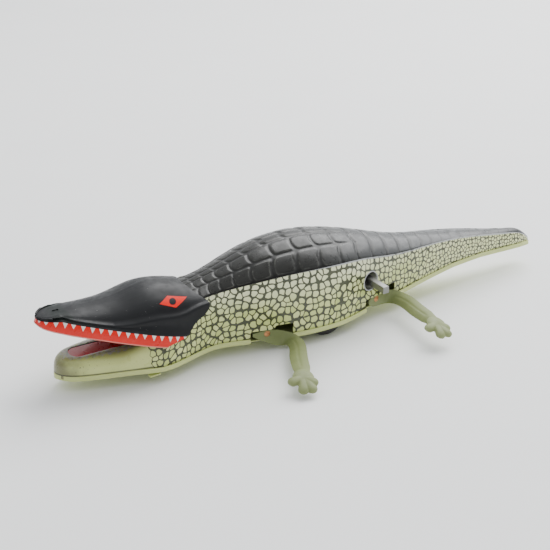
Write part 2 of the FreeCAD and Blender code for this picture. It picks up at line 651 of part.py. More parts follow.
PAWS = {"front": ((1.6, 44.4, -2.9), -90.0), "rear": ((1.2, 40.5, -0.9), -97.0)}


def leg_strip(stations):
    """A ribbon of sheet lofted through its stations."""
    thick = dim("leg_sheet")
    wires = []
    for i, ((x, out, z), width_way, width) in enumerate(stations):
        before, after = stations[max(i - 1, 0)][0], stations[min(i + 1, len(stations) - 1)][0]
        along = Vec(after[0] - before[0], -(after[1] - before[1]), after[2] - before[2])
        across = Vec(width_way[0], -width_way[1], width_way[2]).normalize()
        normal = across.cross(along).normalize()
        centre = Vec(x, -out, z)
        half = across * (width / 2)
        depth = normal * thick
        if depth.y < 0 and i < 4:
            depth = depth * -1
        wires.append(Part.makePolygon([centre - half, centre + half, centre + half + depth,
                                       centre - half + depth, centre - half]))
    return Part.makeLoft(wires, True, True)


def paw(end):
    """A flat paw with a thumb and three toes."""
    (x, out, z), heading = PAWS[end]
    palm = Part.makeCylinder(4.6, 1.6, Vec(0, 0, -0.4))
    toes = []
    for angle, reach, radius in ((-80, 5.8, 2.4), (-20, 6.8, 2.6), (16, 7.0, 2.6), (50, 5.0, 2.5)):
        turn = math.radians(angle)
        centre = Vec(reach * math.cos(turn), reach * math.sin(turn), -0.4)
        toes.append(Part.makeCylinder(radius, 1.6, centre))
        web = Part.makeBox(reach, 3.6, 1.6, Vec(0, -1.8, -0.4))
        web.rotate(Vec(), Vec(0, 0, 1), angle)
        toes.append(web)
    piece = palm.fuse(toes).removeSplitter()
    piece.rotate(Vec(), Vec(0, 0, 1), heading)
    piece.rotate(Vec(), Vec(1, 0, 0), PAW_DROOP)
    piece.translate(Vec(x, -out, z))
    return piece


def leg(end, side):
    """A stamped leg with its lug and pin, swung to where this side's leg stands at rest."""
    stations = FRONT_LEG if end == "front" else REAR_LEG
    rest_tilt = dim("swing") / 2 if end == "front" else -dim("swing") / 2
    thick, reach = dim("leg_sheet"), dim("lug_height")
    lug = slab(-2.4, 2.4, 0, thick, 0, reach).fuse(disc(0, reach, 2.4, 0, thick))
    link_y = dim(f"{end}_link_y")
    pin_length = dim(f"{end}_rivet_y") - link_y + 0.4
    lug = lug.fuse(disc(0, reach, dim("small_pin"), 0, pin_length))
    lug.rotate(Vec(), Vec(0, 1, 0), rest_tilt)
    piece = leg_strip(stations).fuse([lug, paw(end)])
    piece = piece.cut(disc(0, 0, dim("rivet_radius") + dim("running_gap"), -3, 3)).removeSplitter()
    if side == "right":
        piece.rotate(Vec(), Vec(0, 1, 0), -2 * rest_tilt)
    return set_in(piece, end, side)


def leg_bracket(end):
    """An ear that stands on the belly pan behind a leg and takes its rivet."""
    rivet_z = dim(f"{end}_rivet_z")
    floor = dim("floor_height") + SKIN + (1.9 if end == "rear" else 0.0)
    bottom = floor - rivet_z
    ear = slab(-3, 3, 1.2, 2.0, bottom, 3)
    foot = slab(-3, 3, 1.2, 5.2, bottom, bottom + 0.8)
    return ear.fuse(foot).cut(disc(0, 0, dim("rivet_radius") + PRESS, -3, 3)).removeSplitter()


def leg_rivet():
    shank = disc(0, 0, dim("rivet_radius"), -0.15, 2.0)
    dome = Part.makeSphere(2.2, Vec(0, 1.05, 0)).common(disc(0, 0, dim("rivet_head"), -1.2, -0.15))
    return shank.fuse(dome).removeSplitter()


def link(end, side):
    """A flat link from a crank pin to a leg's lug pin."""
    way = 1 if (end == "front") == (side == "left") else -1
    throw = link_throw()
    crank_point = (SECOND[0] + way * throw, SECOND[1])
    lug_z = dim("lug_height") * (1 + math.cos(math.radians(dim("swing") / 2))) / 2
    y_high = -dim(f"{end}_link_y")
    y_low = y_high - dim("link_sheet")
    inwards = dim(f"{end}_rivet_y") + (y_low + y_high) / 2
    pin_x = dim(f"{end}_rivet_x") + inwards * math.tan(math.radians(dim(f"{end}_plan")))
    lug_point = (pin_x + way * throw, dim(f"{end}_rivet_z") + lug_z)
    strip = strip_between(*crank_point, *lug_point, dim("link_width"), y_low, y_high)
    eyes = [disc(*point, 2.0, y_low, y_high) for point in (crank_point, lug_point)]
    holes = disc(*crank_point, dim("small_pin") + 0.2, -30, 0).fuse(
        disc(*lug_point, dim("small_pin") + 0.3, -30, 0))
    piece = strip.fuse(eyes).cut(holes).removeSplitter()
    return piece if side == "left" else mirrored(piece)


def make_legs():
    rivets = []
    for end in ("front", "rear"):
        for side in ("left", "right"):
            feature(f"leg_{end}_{side}", leg(end, side))
            feature(f"link_{end}_{side}", link(end, side))
            feature(f"leg_bracket_{end}_{side}", set_in(leg_bracket(end), end, side))
            rivets.append(set_in(leg_rivet(), end, side))
    feature("leg_rivets", Part.makeCompound(rivets))


# --- the whole toy ---------------------------------------------------------------------------------

feature("body_shell", body_shell())
feature("belly_pan", belly_pan())
feature("head_shell", head_shell())
feature("head_bracket", head_bracket())
keep(rod("jaw_pin", "jaw_pin_radius", "2 * jaw_pin_half", "jaw_pin_x", "0 - jaw_pin_half", "jaw_pin_z"), "jaw_pin")
feature("jaw_rod", jaw_rod())
make_motor()
make_wheels()
make_legs()

doc.recompute()
for thing in doc.Objects:
    if {"Invalid", "Error"} & set(thing.State):
        raise RuntimeError(f"{thing.Label} failed: {thing.State}")
for piece in SUBPARTS:
    if piece.Shape.isNull() or not piece.Shape.isValid() or not piece.Shape.Solids:
        raise RuntimeError(f"{piece.Label} has no valid solid")

os.makedirs("parts", exist_ok=True)
for piece in SUBPARTS:
    piece.Shape.exportStep(f"parts/{piece.Label}.step")
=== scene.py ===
import json
import math

import bpy
import numpy as np
from mathutils import Matrix, Vector


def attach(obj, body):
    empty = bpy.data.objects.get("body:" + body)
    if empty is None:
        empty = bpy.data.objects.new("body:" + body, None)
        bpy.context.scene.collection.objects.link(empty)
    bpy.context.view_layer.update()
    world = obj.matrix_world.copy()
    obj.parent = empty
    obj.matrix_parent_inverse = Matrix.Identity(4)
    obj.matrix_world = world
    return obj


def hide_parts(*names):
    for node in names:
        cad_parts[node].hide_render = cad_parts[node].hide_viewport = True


# Looks of the clockwork tinplate crocodile. Lengths are in millimetres, scaled on the way into each
# mesh. +X is towards the tail, -Y is the left flank, +Z is up, and the floor is z = 0.

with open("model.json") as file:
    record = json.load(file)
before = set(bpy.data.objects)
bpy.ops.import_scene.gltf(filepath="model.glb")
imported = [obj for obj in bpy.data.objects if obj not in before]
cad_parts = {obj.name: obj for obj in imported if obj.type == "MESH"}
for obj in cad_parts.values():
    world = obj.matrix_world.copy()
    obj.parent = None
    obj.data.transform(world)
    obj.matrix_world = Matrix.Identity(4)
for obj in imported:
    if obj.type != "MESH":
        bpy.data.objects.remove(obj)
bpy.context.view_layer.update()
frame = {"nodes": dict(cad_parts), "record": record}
MM = 0.001


# --- curves and meshes ---

def spline(xs, ys):
    """A natural cubic spline through the points, as a function of x that works on arrays."""
    xs, ys = np.asarray(xs, float), np.asarray(ys, float)
    step, count = np.diff(xs), len(xs)
    matrix, right = np.eye(count), np.zeros(count)
    for i in range(1, count - 1):
        matrix[i, i - 1:i + 2] = step[i - 1], 2 * (step[i - 1] + step[i]), step[i]
        right[i] = 6 * ((ys[i + 1] - ys[i]) / step[i] - (ys[i] - ys[i - 1]) / step[i - 1])
    curve = np.linalg.solve(matrix, right)

    def at(x):
        x = np.clip(x, xs[0], xs[-1])
        i = np.clip(np.searchsorted(xs, x) - 1, 0, count - 2)
        after, before = x - xs[i], xs[i + 1] - x
        bent = (curve[i] * before ** 3 + curve[i + 1] * after ** 3) / (6 * step[i])
        return (bent + (ys[i] / step[i] - curve[i] * step[i] / 6) * before
                + (ys[i + 1] / step[i] - curve[i + 1] * step[i] / 6) * after)
    return at


def along(points):
    """Smooth functions of 0..1, one for each column of a table of points, spaced by chord."""
    points = np.asarray(points, float)
    chords = np.linalg.norm(np.diff(points[:, :2], axis=0), axis=1)
    knots = np.concatenate([[0], np.cumsum(chords)]) / chords.sum()
    return [spline(knots, column) for column in points.T]


def smooth(low, high, value):
    """0 below low, 1 above high, and an S-shaped rise between them."""
    t = np.clip((value - low) / (high - low), 0, 1)
    return t * t * (3 - 2 * t)


def circle(count):
    """Evenly spaced angles once round."""
    return np.linspace(0, 2 * np.pi, count, endpoint=False)


def grid_faces(rows, columns, wrap=False):
    """Quads of a grid of points, row by row. wrap joins each row's end to its start."""
    last = columns if wrap else columns - 1
    i, j = np.meshgrid(np.arange(rows - 1), np.arange(last), indexing="ij")
    after = (j + 1) % columns
    start, below = i * columns, (i + 1) * columns
    quads = [start + j, start + after, below + after, below + j]
    return np.stack(quads, -1).reshape(-1, 4)


def rotate(a, b, angle):
    """The coordinates a and b turned by an angle in their plane, a towards b."""
    cos, sin = math.cos(angle), math.sin(angle)
    return a * cos - b * sin, a * sin + b * cos


def add(name, data):
    """A new object in the scene."""
    obj = bpy.data.objects.new(name, data)
    bpy.context.scene.collection.objects.link(obj)
    return obj


def piece(name, points, faces, body, materials, index=None, fields=None, sheet=0.0,
          nodes=(), angle=35):
    """A mesh of points in mm. sheet thickens it inwards, and fields are vectors on its points."""
    mesh = bpy.data.meshes.new(name)
    faces = [list(map(int, face)) for face in faces]
    mesh.from_pydata((np.asarray(points) * MM).tolist(), [], faces)
    for material in materials:
        mesh.materials.append(material)
    if index is not None:
        mesh.polygons.foreach_set("material_index", np.asarray(index, np.int32))
    for label, values in (fields or {}).items():
        layer = mesh.attributes.new(label, "FLOAT_VECTOR", "POINT")
        layer.data.foreach_set("vector", np.asarray(values, np.float32).ravel())
    mesh.polygons.foreach_set("use_smooth", np.ones(len(mesh.polygons), bool))
    obj = add(name, mesh)
    if sheet:
        thick = obj.modifiers.new("sheet", "SOLIDIFY")
        thick.thickness = sheet * MM
        thick.offset = -1
        bpy.context.view_layer.update()
        made = obj.evaluated_get(bpy.context.evaluated_depsgraph_get())
        obj.data = bpy.data.meshes.new_from_object(made)
        obj.modifiers.clear()
    obj.data.set_sharp_from_angle(angle=math.radians(angle))
    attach(obj, body)
    if nodes:
        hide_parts(*nodes)
    return obj


# --- materials ---

class Paint:
    """Builds a material's nodes. Every method returns the socket that carries its result."""

    def __init__(self, name, **settings):
        self.material = bpy.data.materials.new(name)
        self.material.use_nodes = True
        self.tree = self.material.node_tree
        self.shader = self.tree.nodes["Principled BSDF"]
        for socket, value in settings.items():
            self.shader.inputs[socket.replace("_", " ")].default_value = value
        # position on the resting toy, in mm
        coordinates = self.node("TexCoord", {}, out="Object")
        self.place = self.vector("MULTIPLY", coordinates, (1 / MM,) * 3)

    def node(self, kind, inputs, out=0, **options):
        made = self.tree.nodes.new("ShaderNode" + kind)
        for option, value in options.items():
            setattr(made, option, value)
        for socket, value in inputs.items():
            self.put(made.inputs[socket], value)
        return made.outputs[out]

    def put(self, socket, value):
        if isinstance(value, bpy.types.NodeSocket):
            self.tree.links.new(value, socket)
        elif hasattr(socket.default_value, "__len__") and hasattr(value, "__len__"):
            socket.default_value = tuple(value) + (1.0,) * (len(socket.default_value) - len(value))
        else:
            socket.default_value = value

    def vector(self, operation, a, b, c=(0, 0, 0)):
        return self.node("VectorMath", {0: a, 1: b, 2: c}, operation=operation)

    def field(self, label):
        return self.node("Attribute", {}, out="Vector", attribute_name=label)

    def split(self, vector, axis):
        return self.node("SeparateXYZ", {0: vector}, out="XYZ".index(axis))

    def at(self, axis):
        return self.split(self.place, axis)

    def noise(self, size, detail=2.0, rough=0.5, vector=None):
        """Cloudy 0..1 noise with features of that size, in mm or in the vector's own units."""
        where = self.place if vector is None else vector
        inputs = {"Vector": where, "Scale": 1 / size, "Detail": detail, "Roughness": rough}
        return self.node("TexNoise", inputs)

    def math(self, operation, a, b=0.0, c=0.0):
        return self.node("Math", {0: a, 1: b, 2: c}, operation=operation)

    def times(self, a, b):
        return self.math("MULTIPLY", a, b)

    def minus(self, a, b):
        return self.math("SUBTRACT", a, b)

    def over(self, a, b):
        return self.math("DIVIDE", a, b)

    def squared(self, a):
        return self.math("POWER", a, 2.0)

    def ramp(self, value, low, high, to_low=0.0, to_high=1.0):
        """Smoothly from to_low at low to to_high at high."""
        inputs = {"Value": value, "From Min": low, "From Max": high,
                  "To Min": to_low, "To Max": to_high}
        return self.node("MapRange", inputs, interpolation_type="SMOOTHSTEP")

    def mix(self, share, a, b):
        """Colour a where share is 0, and b where it is 1."""
        made = self.tree.nodes.new("ShaderNodeMix")
        made.data_type = "RGBA"
        for socket, value in ((0, share), (6, a), (7, b)):
            self.put(made.inputs[socket], value)
        return made.outputs[2]

    def bump(self, height, depth, strength=1.0, under=None):
        inputs = {"Height": height, "Distance": depth * MM, "Strength": strength}
        if under is not None:
            inputs["Normal"] = under
        return self.node("Bump", inputs)

    def scuffs(self, size):
        """Thin faint scuffs: 1 on a scuff, 0 elsewhere."""
        stretched = self.vector("MULTIPLY", self.place, (0.25, 1.0, 2.2))
        thin = self.ramp(self.noise(size / 6, 4.0, 0.7, stretched), 0.66, 0.70)
        return self.times(thin, self.ramp(self.noise(size), 0.52, 0.64))

    def chips(self, size, rare=0.72):
        """Small paint chips: 1 in a chip, 0 elsewhere."""
        return self.ramp(self.noise(size, 3.0, 0.6), rare, rare + 0.02)

    def finish(self, colour, rough, normal):
        for socket, value in (("Base Color", colour), ("Roughness", rough), ("Normal", normal)):
            self.put(self.shader.inputs[socket], value)
        return self.material


def jaw_paint(paint):
    """Plain olive of the lower jaw: sooty tip, worn pale tooth marks round its rim, and a dark line
    at the seam, part joint and part painted shade.
    """
    ring = paint.field("ring")
    depth, run = paint.split(ring, "X"), paint.split(ring, "Y")
    colour = paint.mix(paint.noise(11.0), (0.55, 0.615, 0.205), (0.64, 0.69, 0.26))
    share = paint.math("FRACT", paint.over(run, MARK_PITCH))
    point = paint.math("ABSOLUTE", paint.minus(share, 0.5))
    reach = paint.minus(paint.over(paint.minus(depth, MARK_DEPTH), MARK_DEPTH), point)
    worn = paint.ramp(paint.noise(1.3, 4.0, 0.7), 0.40, 0.56)
    mark = paint.times(paint.ramp(reach, -0.25, 0.02), worn)
    dirt = paint.ramp(paint.noise(2.4, 4.0), 0.35, 0.7)
    dirt = paint.times(paint.ramp(depth, 1.8, 4.4), dirt)
    colour = paint.mix(paint.times(dirt, 0.75), colour, (0.16, 0.155, 0.115))
    colour = paint.mix(paint.times(mark, 0.85), colour, (0.52, 0.52, 0.49))
    soot = paint.times(paint.noise(6.0, 3.0), 12.0)
    soot = paint.math("ADD", paint.at("X"), soot)
    colour = paint.mix(paint.ramp(soot, -137.5, -124.0, 0.80, 0.0), colour, (0.105, 0.090, 0.050))
    specks = paint.ramp(paint.at("X"), -134, -112, 1.0, 0.25)
    specks = paint.times(specks, paint.chips(0.9, 0.66))
    colour = paint.mix(paint.times(specks, 0.85), colour, (0.06, 0.05, 0.035))
    # a dark line along the fold above the pan's flange: partly the joint itself, partly painted
    # shade under the fold
    off = paint.math("ABSOLUTE", paint.minus(paint.at("Z"), SEAM_Z))
    seam_and_shade = paint.ramp(off, 0.25, 0.55, 0.75, 0.0)
    return paint.mix(seam_and_shade, colour, (0.03, 0.03, 0.02))


def pebble_material():
    """Printed pebble scales on the flanks, painted paler towards the crease as a highlight, with
    plain paint ahead of the printed area.
    """
    paint = Paint("flank_print", Coat_Weight=0.2, Coat_Roughness=0.15)
    cells = paint.field("cell")
    warp = paint.node("TexNoise", {"Vector": cells, "Scale": 0.9, "Detail": 1.0}, "Color")
    moved = paint.vector("SUBTRACT", warp, (0.5, 0.5, 0.5))
    moved = paint.vector("MULTIPLY_ADD", moved, (0.6, 0.6, 0.0), cells)

    def cell(out, feature="F1"):
        inputs = {"Vector": moved, "Scale": 1.0, "Randomness": 0.72}
        return paint.node("TexVoronoi", inputs, out, voronoi_dimensions="2D",
                          feature=feature)

    edge = cell("Distance", "DISTANCE_TO_EDGE")
    centre, seed, tint = cell("Distance"), cell("Position"), cell("Color")
    corner = paint.math("MAXIMUM", paint.minus(centre, 0.40), 0.0)
    inset = paint.minus(edge, paint.times(corner, 0.70))
    scale = paint.ramp(inset, 0.070, 0.118)
    fresh = paint.mix(paint.split(tint, "X"), (0.56, 0.635, 0.19), (0.72, 0.765, 0.32))
    # painted highlight: the scales grow paler up the flank, where the top light falls
    pale = paint.mix(paint.ramp(paint.at("Z"), 20, 37), fresh, (0.80, 0.825, 0.52))
    rear = paint.ramp(paint.at("X"), 40, 90, 0.0, 0.5)
    pale = paint.mix(rear, pale, (0.84, 0.855, 0.52))
    ink = paint.mix(paint.noise(9.0), (0.025, 0.031, 0.008), (0.060, 0.068, 0.022))
    printed = paint.mix(scale, ink, pale)
    plain = jaw_paint(paint)
    print_starts = paint.math("LESS_THAN", paint.split(seed, "X"), PRINT_START)
    colour = paint.mix(print_starts, printed, plain)
    scuffs = paint.scuffs(14.0)
    colour = paint.mix(paint.times(scuffs, 0.45), colour, (0.60, 0.61, 0.52))
    chipped = paint.times(paint.chips(1.3, 0.74), 0.7)
    colour = paint.mix(chipped, colour, (0.30, 0.27, 0.20))
    rough = paint.ramp(paint.noise(5.0, 4.0), 0.3, 0.7, 0.26, 0.40)
    wavy = paint.bump(paint.noise(16.0, 1.0), 0.5, 0.35)
    inked = paint.bump(scale, 0.02, 0.6, wavy)
    return paint.finish(colour, rough, inked)


def black_gloss(name, dark, worn, rough=0.24, shine=0.35):
    """Starts a gloss black enamel with faint scuffs and small chips, and gives its parts."""
    paint = Paint(name, Coat_Weight=0.2 * shine, Coat_Roughness=0.15, Specular_IOR_Level=shine)
    cloud = paint.noise(7.0, 3.0)
    colour = paint.mix(cloud, dark, tuple(1.5 * v for v in dark))
    colour = paint.mix(paint.times(paint.scuffs(10.0), 0.35), colour, worn)
    colour = paint.mix(paint.times(paint.chips(1.2), 0.8), colour, worn)
    patchy = paint.noise(3.0, 4.0, 0.6)
    gloss = paint.ramp(patchy, 0.3, 0.75, rough - 0.05, rough + 0.14)
    uneven = paint.bump(paint.noise(8.0, 1.0), 0.25, 0.3)
    return paint, colour, gloss, uneven


def back_material():
    """Black scutes: a painted sheen greys the tail, painted shade darkens the grooves, and the rims
    are painted lighter as highlight and wear.
    """
    paint, colour, gloss, uneven = black_gloss(
        "back_black", (0.0060, 0.0060, 0.0042), (0.12, 0.12, 0.105), 0.30)
    height = paint.split(paint.field("cell"), "Z")
    # painted sheen: the black turns grey towards the tail, for the bright light from behind
    grey = paint.ramp(paint.at("X"), -30, 60, 0.0, 0.85)
    colour = paint.mix(grey, colour, (0.062, 0.066, 0.068))
    # painted shade: the grooves between the scutes are painted darker
    colour = paint.mix(paint.ramp(height, 0.0, 0.5, 0.75, 0.0), colour, (0.003, 0.003, 0.002))
    # the raised rims of the scutes are painted lighter in patches: partly a painted highlight,
    # partly wear
    rim = paint.times(paint.ramp(height, 0.45, 0.72), paint.ramp(height, 0.80, 0.90, 1.0, 0.0))
    rim_highlight_and_wear = paint.times(rim, paint.ramp(paint.noise(4.0, 3.0), 0.35, 0.7))
    colour = paint.mix(rim_highlight_and_wear, colour, (0.060, 0.060, 0.052))
    grain = paint.bump(paint.noise(2.0, 2.0), 0.04, 0.35, uneven)
    return paint.finish(colour, gloss, grain)


def crease_material():
    """The folded edge between back and flank, with pale grey patches along it, partly a painted
    highlight on the fold and partly black worn to metal.
    """
    paint, colour, gloss, uneven = black_gloss(
        "crease_edge", (0.03, 0.03, 0.025), (0.40, 0.41, 0.40))
    # pale grey patches along the fold: partly a painted highlight, partly black worn to metal
    crease_highlight_and_wear = paint.times(paint.ramp(paint.noise(6.0, 4.0, 0.7), 0.30, 0.48),
                       paint.ramp(paint.at("X"), -30, 8, 0.05, 1.0))
    colour = paint.mix(crease_highlight_and_wear, colour, (0.50, 0.51, 0.52))
    return paint.finish(colour, gloss, uneven)


def head_material():
    """Black head with a dark patch at each nostril, and a darker patch round each printed eye that
    is painted shade for the dark reflection on the head's side.
    """
    paint, colour, gloss, uneven = black_gloss(
        "head_black", (0.0085, 0.009, 0.010), (0.26, 0.26, 0.25), 0.40, 0.20)
    shut, eye = paint.field("shut"), paint.field("eye")
    x, z = paint.split(shut, "X"), paint.split(shut, "Y")
    a, b = paint.split(eye, "X"), paint.split(eye, "Y")
    # how far inside the printed lozenge, which is taller at its rear
    top = paint.math("MULTIPLY_ADD", b, 0.32, 0.88)
    inner_a = paint.math("MINIMUM", a, paint.minus(top, a))
    inner_b = paint.math("MINIMUM", b, paint.minus(1.0, b))
    inside = paint.math("MINIMUM", paint.times(inner_a, 5.4), paint.times(inner_b, 9.8))
    # distance from the lozenge's middle
    from_a, from_b = paint.minus(a, 0.5), paint.minus(b, 0.5)
    across = paint.math("ADD", paint.times(from_a, 4.5), paint.times(from_b, 8.7))
    up = paint.minus(paint.times(from_a, 5.0), paint.times(from_b, 1.4))
    spot = paint.math("SQRT", paint.math("ADD", paint.squared(across), paint.squared(up)))
    wobble = paint.times(paint.minus(paint.noise(1.5), 0.5), 0.35)
    spot = paint.math("ADD", spot, wobble)
    # painted shade: the black is darkened round the eye for the dark reflection on the head's side
    around = paint.ramp(paint.noise(4.0), 0.2, 0.8, 4.6, 6.0)
    patch = paint.minus(1.0, paint.ramp(paint.minus(spot, around), 0.0, 5.0))
    colour = paint.mix(paint.times(patch, 0.75), colour, (0.006, 0.006, 0.007))
    colour = paint.mix(paint.ramp(inside, -0.75, -0.55), colour, (0.012, 0.006, 0.006))
    red = paint.mix(paint.noise(2.0), (0.74, 0.008, 0.001), (0.82, 0.016, 0.004))
    colour = paint.mix(paint.ramp(inside, -0.06, 0.06), colour, red)
    colour = paint.mix(paint.ramp(spot, 1.70, 1.90, 1.0, 0.0), colour, (0.008, 0.008, 0.010))
    nose_x = paint.over(paint.minus(x, NOSTRIL[0]), 4.6)
    nose_z = paint.over(paint.minus(z, NOSTRIL[1]), 2.2)
    nose = paint.math("ADD", paint.squared(nose_x), paint.squared(nose_z))
    colour = paint.mix(paint.ramp(nose, 0.7, 1.3, 0.8, 0.0), colour, (0.006, 0.010, 0.008))
    return paint.finish(colour, gloss, uneven)


def lip_material():
    """Red lip with a printed row of white teeth that hang from its top edge, and a painted pink
    highlight along its lower edge.
    """
    paint = Paint("lip_print", Coat_Weight=0.1, Coat_Roughness=0.2, Specular_IOR_Level=0.3)
    lip = paint.field("lip")
    run, depth = paint.split(lip, "X"), paint.split(lip, "Y")
    share = paint.math("FRACT", paint.over(run, TOOTH_PITCH))
    number = paint.math("FLOOR", paint.over(run, TOOTH_PITCH))
    luck = paint.node("TexWhiteNoise", {"W": number}, noise_dimensions="1D")
    tip = paint.math("MULTIPLY_ADD", luck, 0.12, 0.44)
    off = paint.math("ABSOLUTE", paint.minus(share, tip))
    length = paint.math("MULTIPLY_ADD", luck, 0.6, 2.2)
    width = paint.times(paint.minus(1.0, paint.over(depth, length)), 0.29)
    tooth = paint.ramp(paint.minus(width, off), -0.012, 0.012)
    red = paint.mix(paint.noise(6.0), (0.68, 0.008, 0.002), (0.78, 0.016, 0.005))
    colour = paint.mix(tooth, red, (0.80, 0.79, 0.76))
    # painted highlight: a pink line along the lip's lower edge
    rim = paint.ramp(depth, LIP_BAND - 0.55, LIP_BAND - 0.15, 0.0, 0.7)
    colour = paint.mix(rim, colour, (0.74, 0.30, 0.25))
    colour = paint.mix(paint.ramp(depth, 0.10, 0.30, 1.0, 0.0), colour, (0.02, 0.02, 0.02))
    chipped = paint.times(paint.chips(1.1), 0.8)
    colour = paint.mix(chipped, colour, (0.25, 0.12, 0.09))
    rough = paint.ramp(paint.noise(4.0, 3.0), 0.3, 0.7, 0.25, 0.38)
    return paint.finish(colour, rough, paint.bump(paint.noise(6.0, 2.0), 0.2, 0.3))


def mouth_material():
    """Glossy red of the tongue, with a dark line round it."""
    paint = Paint("mouth_red", Coat_Weight=0.3, Coat_Roughness=0.12)
    ring = paint.field("ring")
    red = paint.mix(paint.noise(7.0, 3.0), (0.42, 0.006, 0.010), (0.55, 0.012, 0.014))
    outline = paint.ramp(paint.split(ring, "X"), 6.5, 6.8, 1.0, 0.0)
    colour = paint.mix(outline, red, (0.010, 0.008, 0.008))
    scuffs = paint.times(paint.scuffs(8.0), 0.4)
    colour = paint.mix(scuffs, colour, (0.20, 0.02, 0.02))
    rough = paint.ramp(paint.noise(3.0, 3.0), 0.3, 0.7, 0.25, 0.40)
    return paint.finish(colour, rough, paint.bump(paint.noise(5.0, 2.0), 0.25, 0.4))


def painted(name, low, high, rough=(0.32, 0.48), coat=0.2):
    """Plain sprayed paint with slow colour changes, scuffs and a few chips."""
    paint = Paint(name, Coat_Weight=coat, Coat_Roughness=0.2)
    colour = paint.mix(paint.noise(9.0, 3.0), low, high)
    pale = tuple(min(1.0, 1.35 * v) for v in high)
    colour = paint.mix(paint.times(paint.scuffs(9.0), 0.4), colour, pale)
    chipped = paint.times(paint.chips(1.1), 0.8)
    colour = paint.mix(chipped, colour, (0.10, 0.09, 0.06))
    gloss = paint.ramp(paint.noise(4.0, 4.0), 0.3, 0.7, *rough)
    peel = paint.bump(paint.noise(0.9, 2.0), 0.03, 0.4)
    return paint.finish(colour, gloss, paint.bump(paint.noise(7.0, 2.0), 0.25, 0.3, peel))


def metal(name, low, high, rough, stretch, rust=(0.20, 0.13, 0.08)):
    """Bare metal with drawing lines along one axis and a little tarnish."""
    paint = Paint(name, Metallic=1.0)
    fine = paint.noise(0.35, 4.0, 0.7, paint.vector("MULTIPLY", paint.place, stretch))
    colour = paint.mix(fine, low, high)
    tarnish = paint.ramp(paint.noise(3.5, 4.0, 0.65), 0.62, 0.78)
    colour = paint.mix(paint.times(tarnish, 0.7), colour, rust)
    gloss = paint.ramp(fine, 0.3, 0.7, rough, rough + 0.2)
    return paint.finish(colour, gloss, paint.bump(fine, 0.02, 0.5))


def rubber_material():
    """Dull black rubber with dust in patches."""
    paint = Paint("tyre_rubber")
    colour = paint.mix(paint.noise(2.5, 4.0), (0.018, 0.018, 0.019), (0.050, 0.050, 0.050))
    dust = paint.ramp(paint.noise(1.2, 4.0, 0.7), 0.5, 0.75, 0.0, 0.4)
    colour = paint.mix(dust, colour, (0.13, 0.125, 0.115))
    rough = paint.ramp(dust, 0.0, 0.4, 0.62, 0.85)
    return paint.finish(colour, rough, paint.bump(paint.noise(0.6, 3.0), 0.05, 0.5))


# --- the body: flanks, embossed back and crease ---

SKIN = 0.5  # thickness of the sheet
FOOT = 6.6  # height of the flanks' lower edge
# x, half width at foot, half width at crease, crease height, ridge height, rise of the foot
BODY = [
    (-95, 20.7, 17.5, 29.5, 34.5, 0), (-85, 18.8, 16.4, 33.0, 37.0, 0),
    (-75, 15.8, 14.8, 34.7, 38.3, 0), (-65, 13.7, 13.3, 35.5, 40.6, 0),
    (-53, 15.9, 15.5, 37.2, 44.0, 0), (-40, 19.5, 18.9, 38.9, 48.1, 0),
    (-25, 22.5, 21.6, 40.1, 51.1, 0), (-10, 24.2, 23.2, 40.1, 51.7, 0),
    (5, 23.7, 22.8, 39.2, 49.9, 0.1), (20, 20.6, 19.8, 37.3, 46.6, 1.0),
    (35, 17.2, 16.6, 34.2, 42.3, 2.0), (50, 14.1, 13.6, 31.9, 37.8, 3.0),
    (70, 10.3, 10.0, 30.6, 33.9, 4.8), (90, 7.4, 7.3, 28.9, 30.7, 6.6),
    (110, 5.2, 5.2, 25.8, 27.3, 6.8), (130, 3.6, 3.6, 22.3, 23.8, 5.7),
    (144, 2.5, 2.5, 18.6, 20.1, 5.2), (149.2, 1.3, 1.3, 14.9, 15.8, 4.9),
]
stations = np.array(BODY, float).T
foot_at, crease_at, crease_z_at, ridge_at, rise_at = (
    spline(stations[0], column) for column in stations[1:])

# Spacing of the scutes along the back, their height, and the size of the printed scales
pitch_at = spline((-95, -70, -55, -40, -25, -10, 5, 20, 35, 55, 80, 110, 150),
                  (4.4, 5.4, 7.4, 10.4, 12.4, 12.6, 12.6, 10.6, 10.2, 8.6, 7.4, 7.4, 7.4))
raise_at = spline((-95, -75, -50, -20, 10, 35, 60, 85, 100, 150),
                  (0.32, 0.38, 0.46, 0.58, 0.60, 0.50, 0.34, 0.14, 0.03, 0.0))
print_at = spline((-95, -60, -20, 10, 40, 70, 110, 150), (3.1, 3.3, 3.6, 3.6, 3.2, 2.6, 2.2, 1.9))
RIGHT_SHIFT = 60  # so that the right flank's scales differ from the left's
PRINT_START = -2.1  # first printed scale, counted from the front of the body
# Edges of the rows of scutes, from crease to crease
ROW_EDGES = np.array([-1.0, -0.53, -0.13, 0.13, 0.53, 1.0])


def counted(size_at, xs):
    """How many steps of a changing size lie between the first x and each x."""
    middle = (xs[1:] + xs[:-1]) / 2
    return np.concatenate([[0], np.cumsum(np.diff(xs) / size_at(middle))])


def flank_reach(x, t):
    """Half width of the body at a share t of the way up from its foot to its crease."""
    foot, tall = foot_at(x), crease_z_at(x) - FOOT - rise_at(x)
    return foot + (crease_at(x) - foot) * t + 0.1 * tall * t * (1 - t)


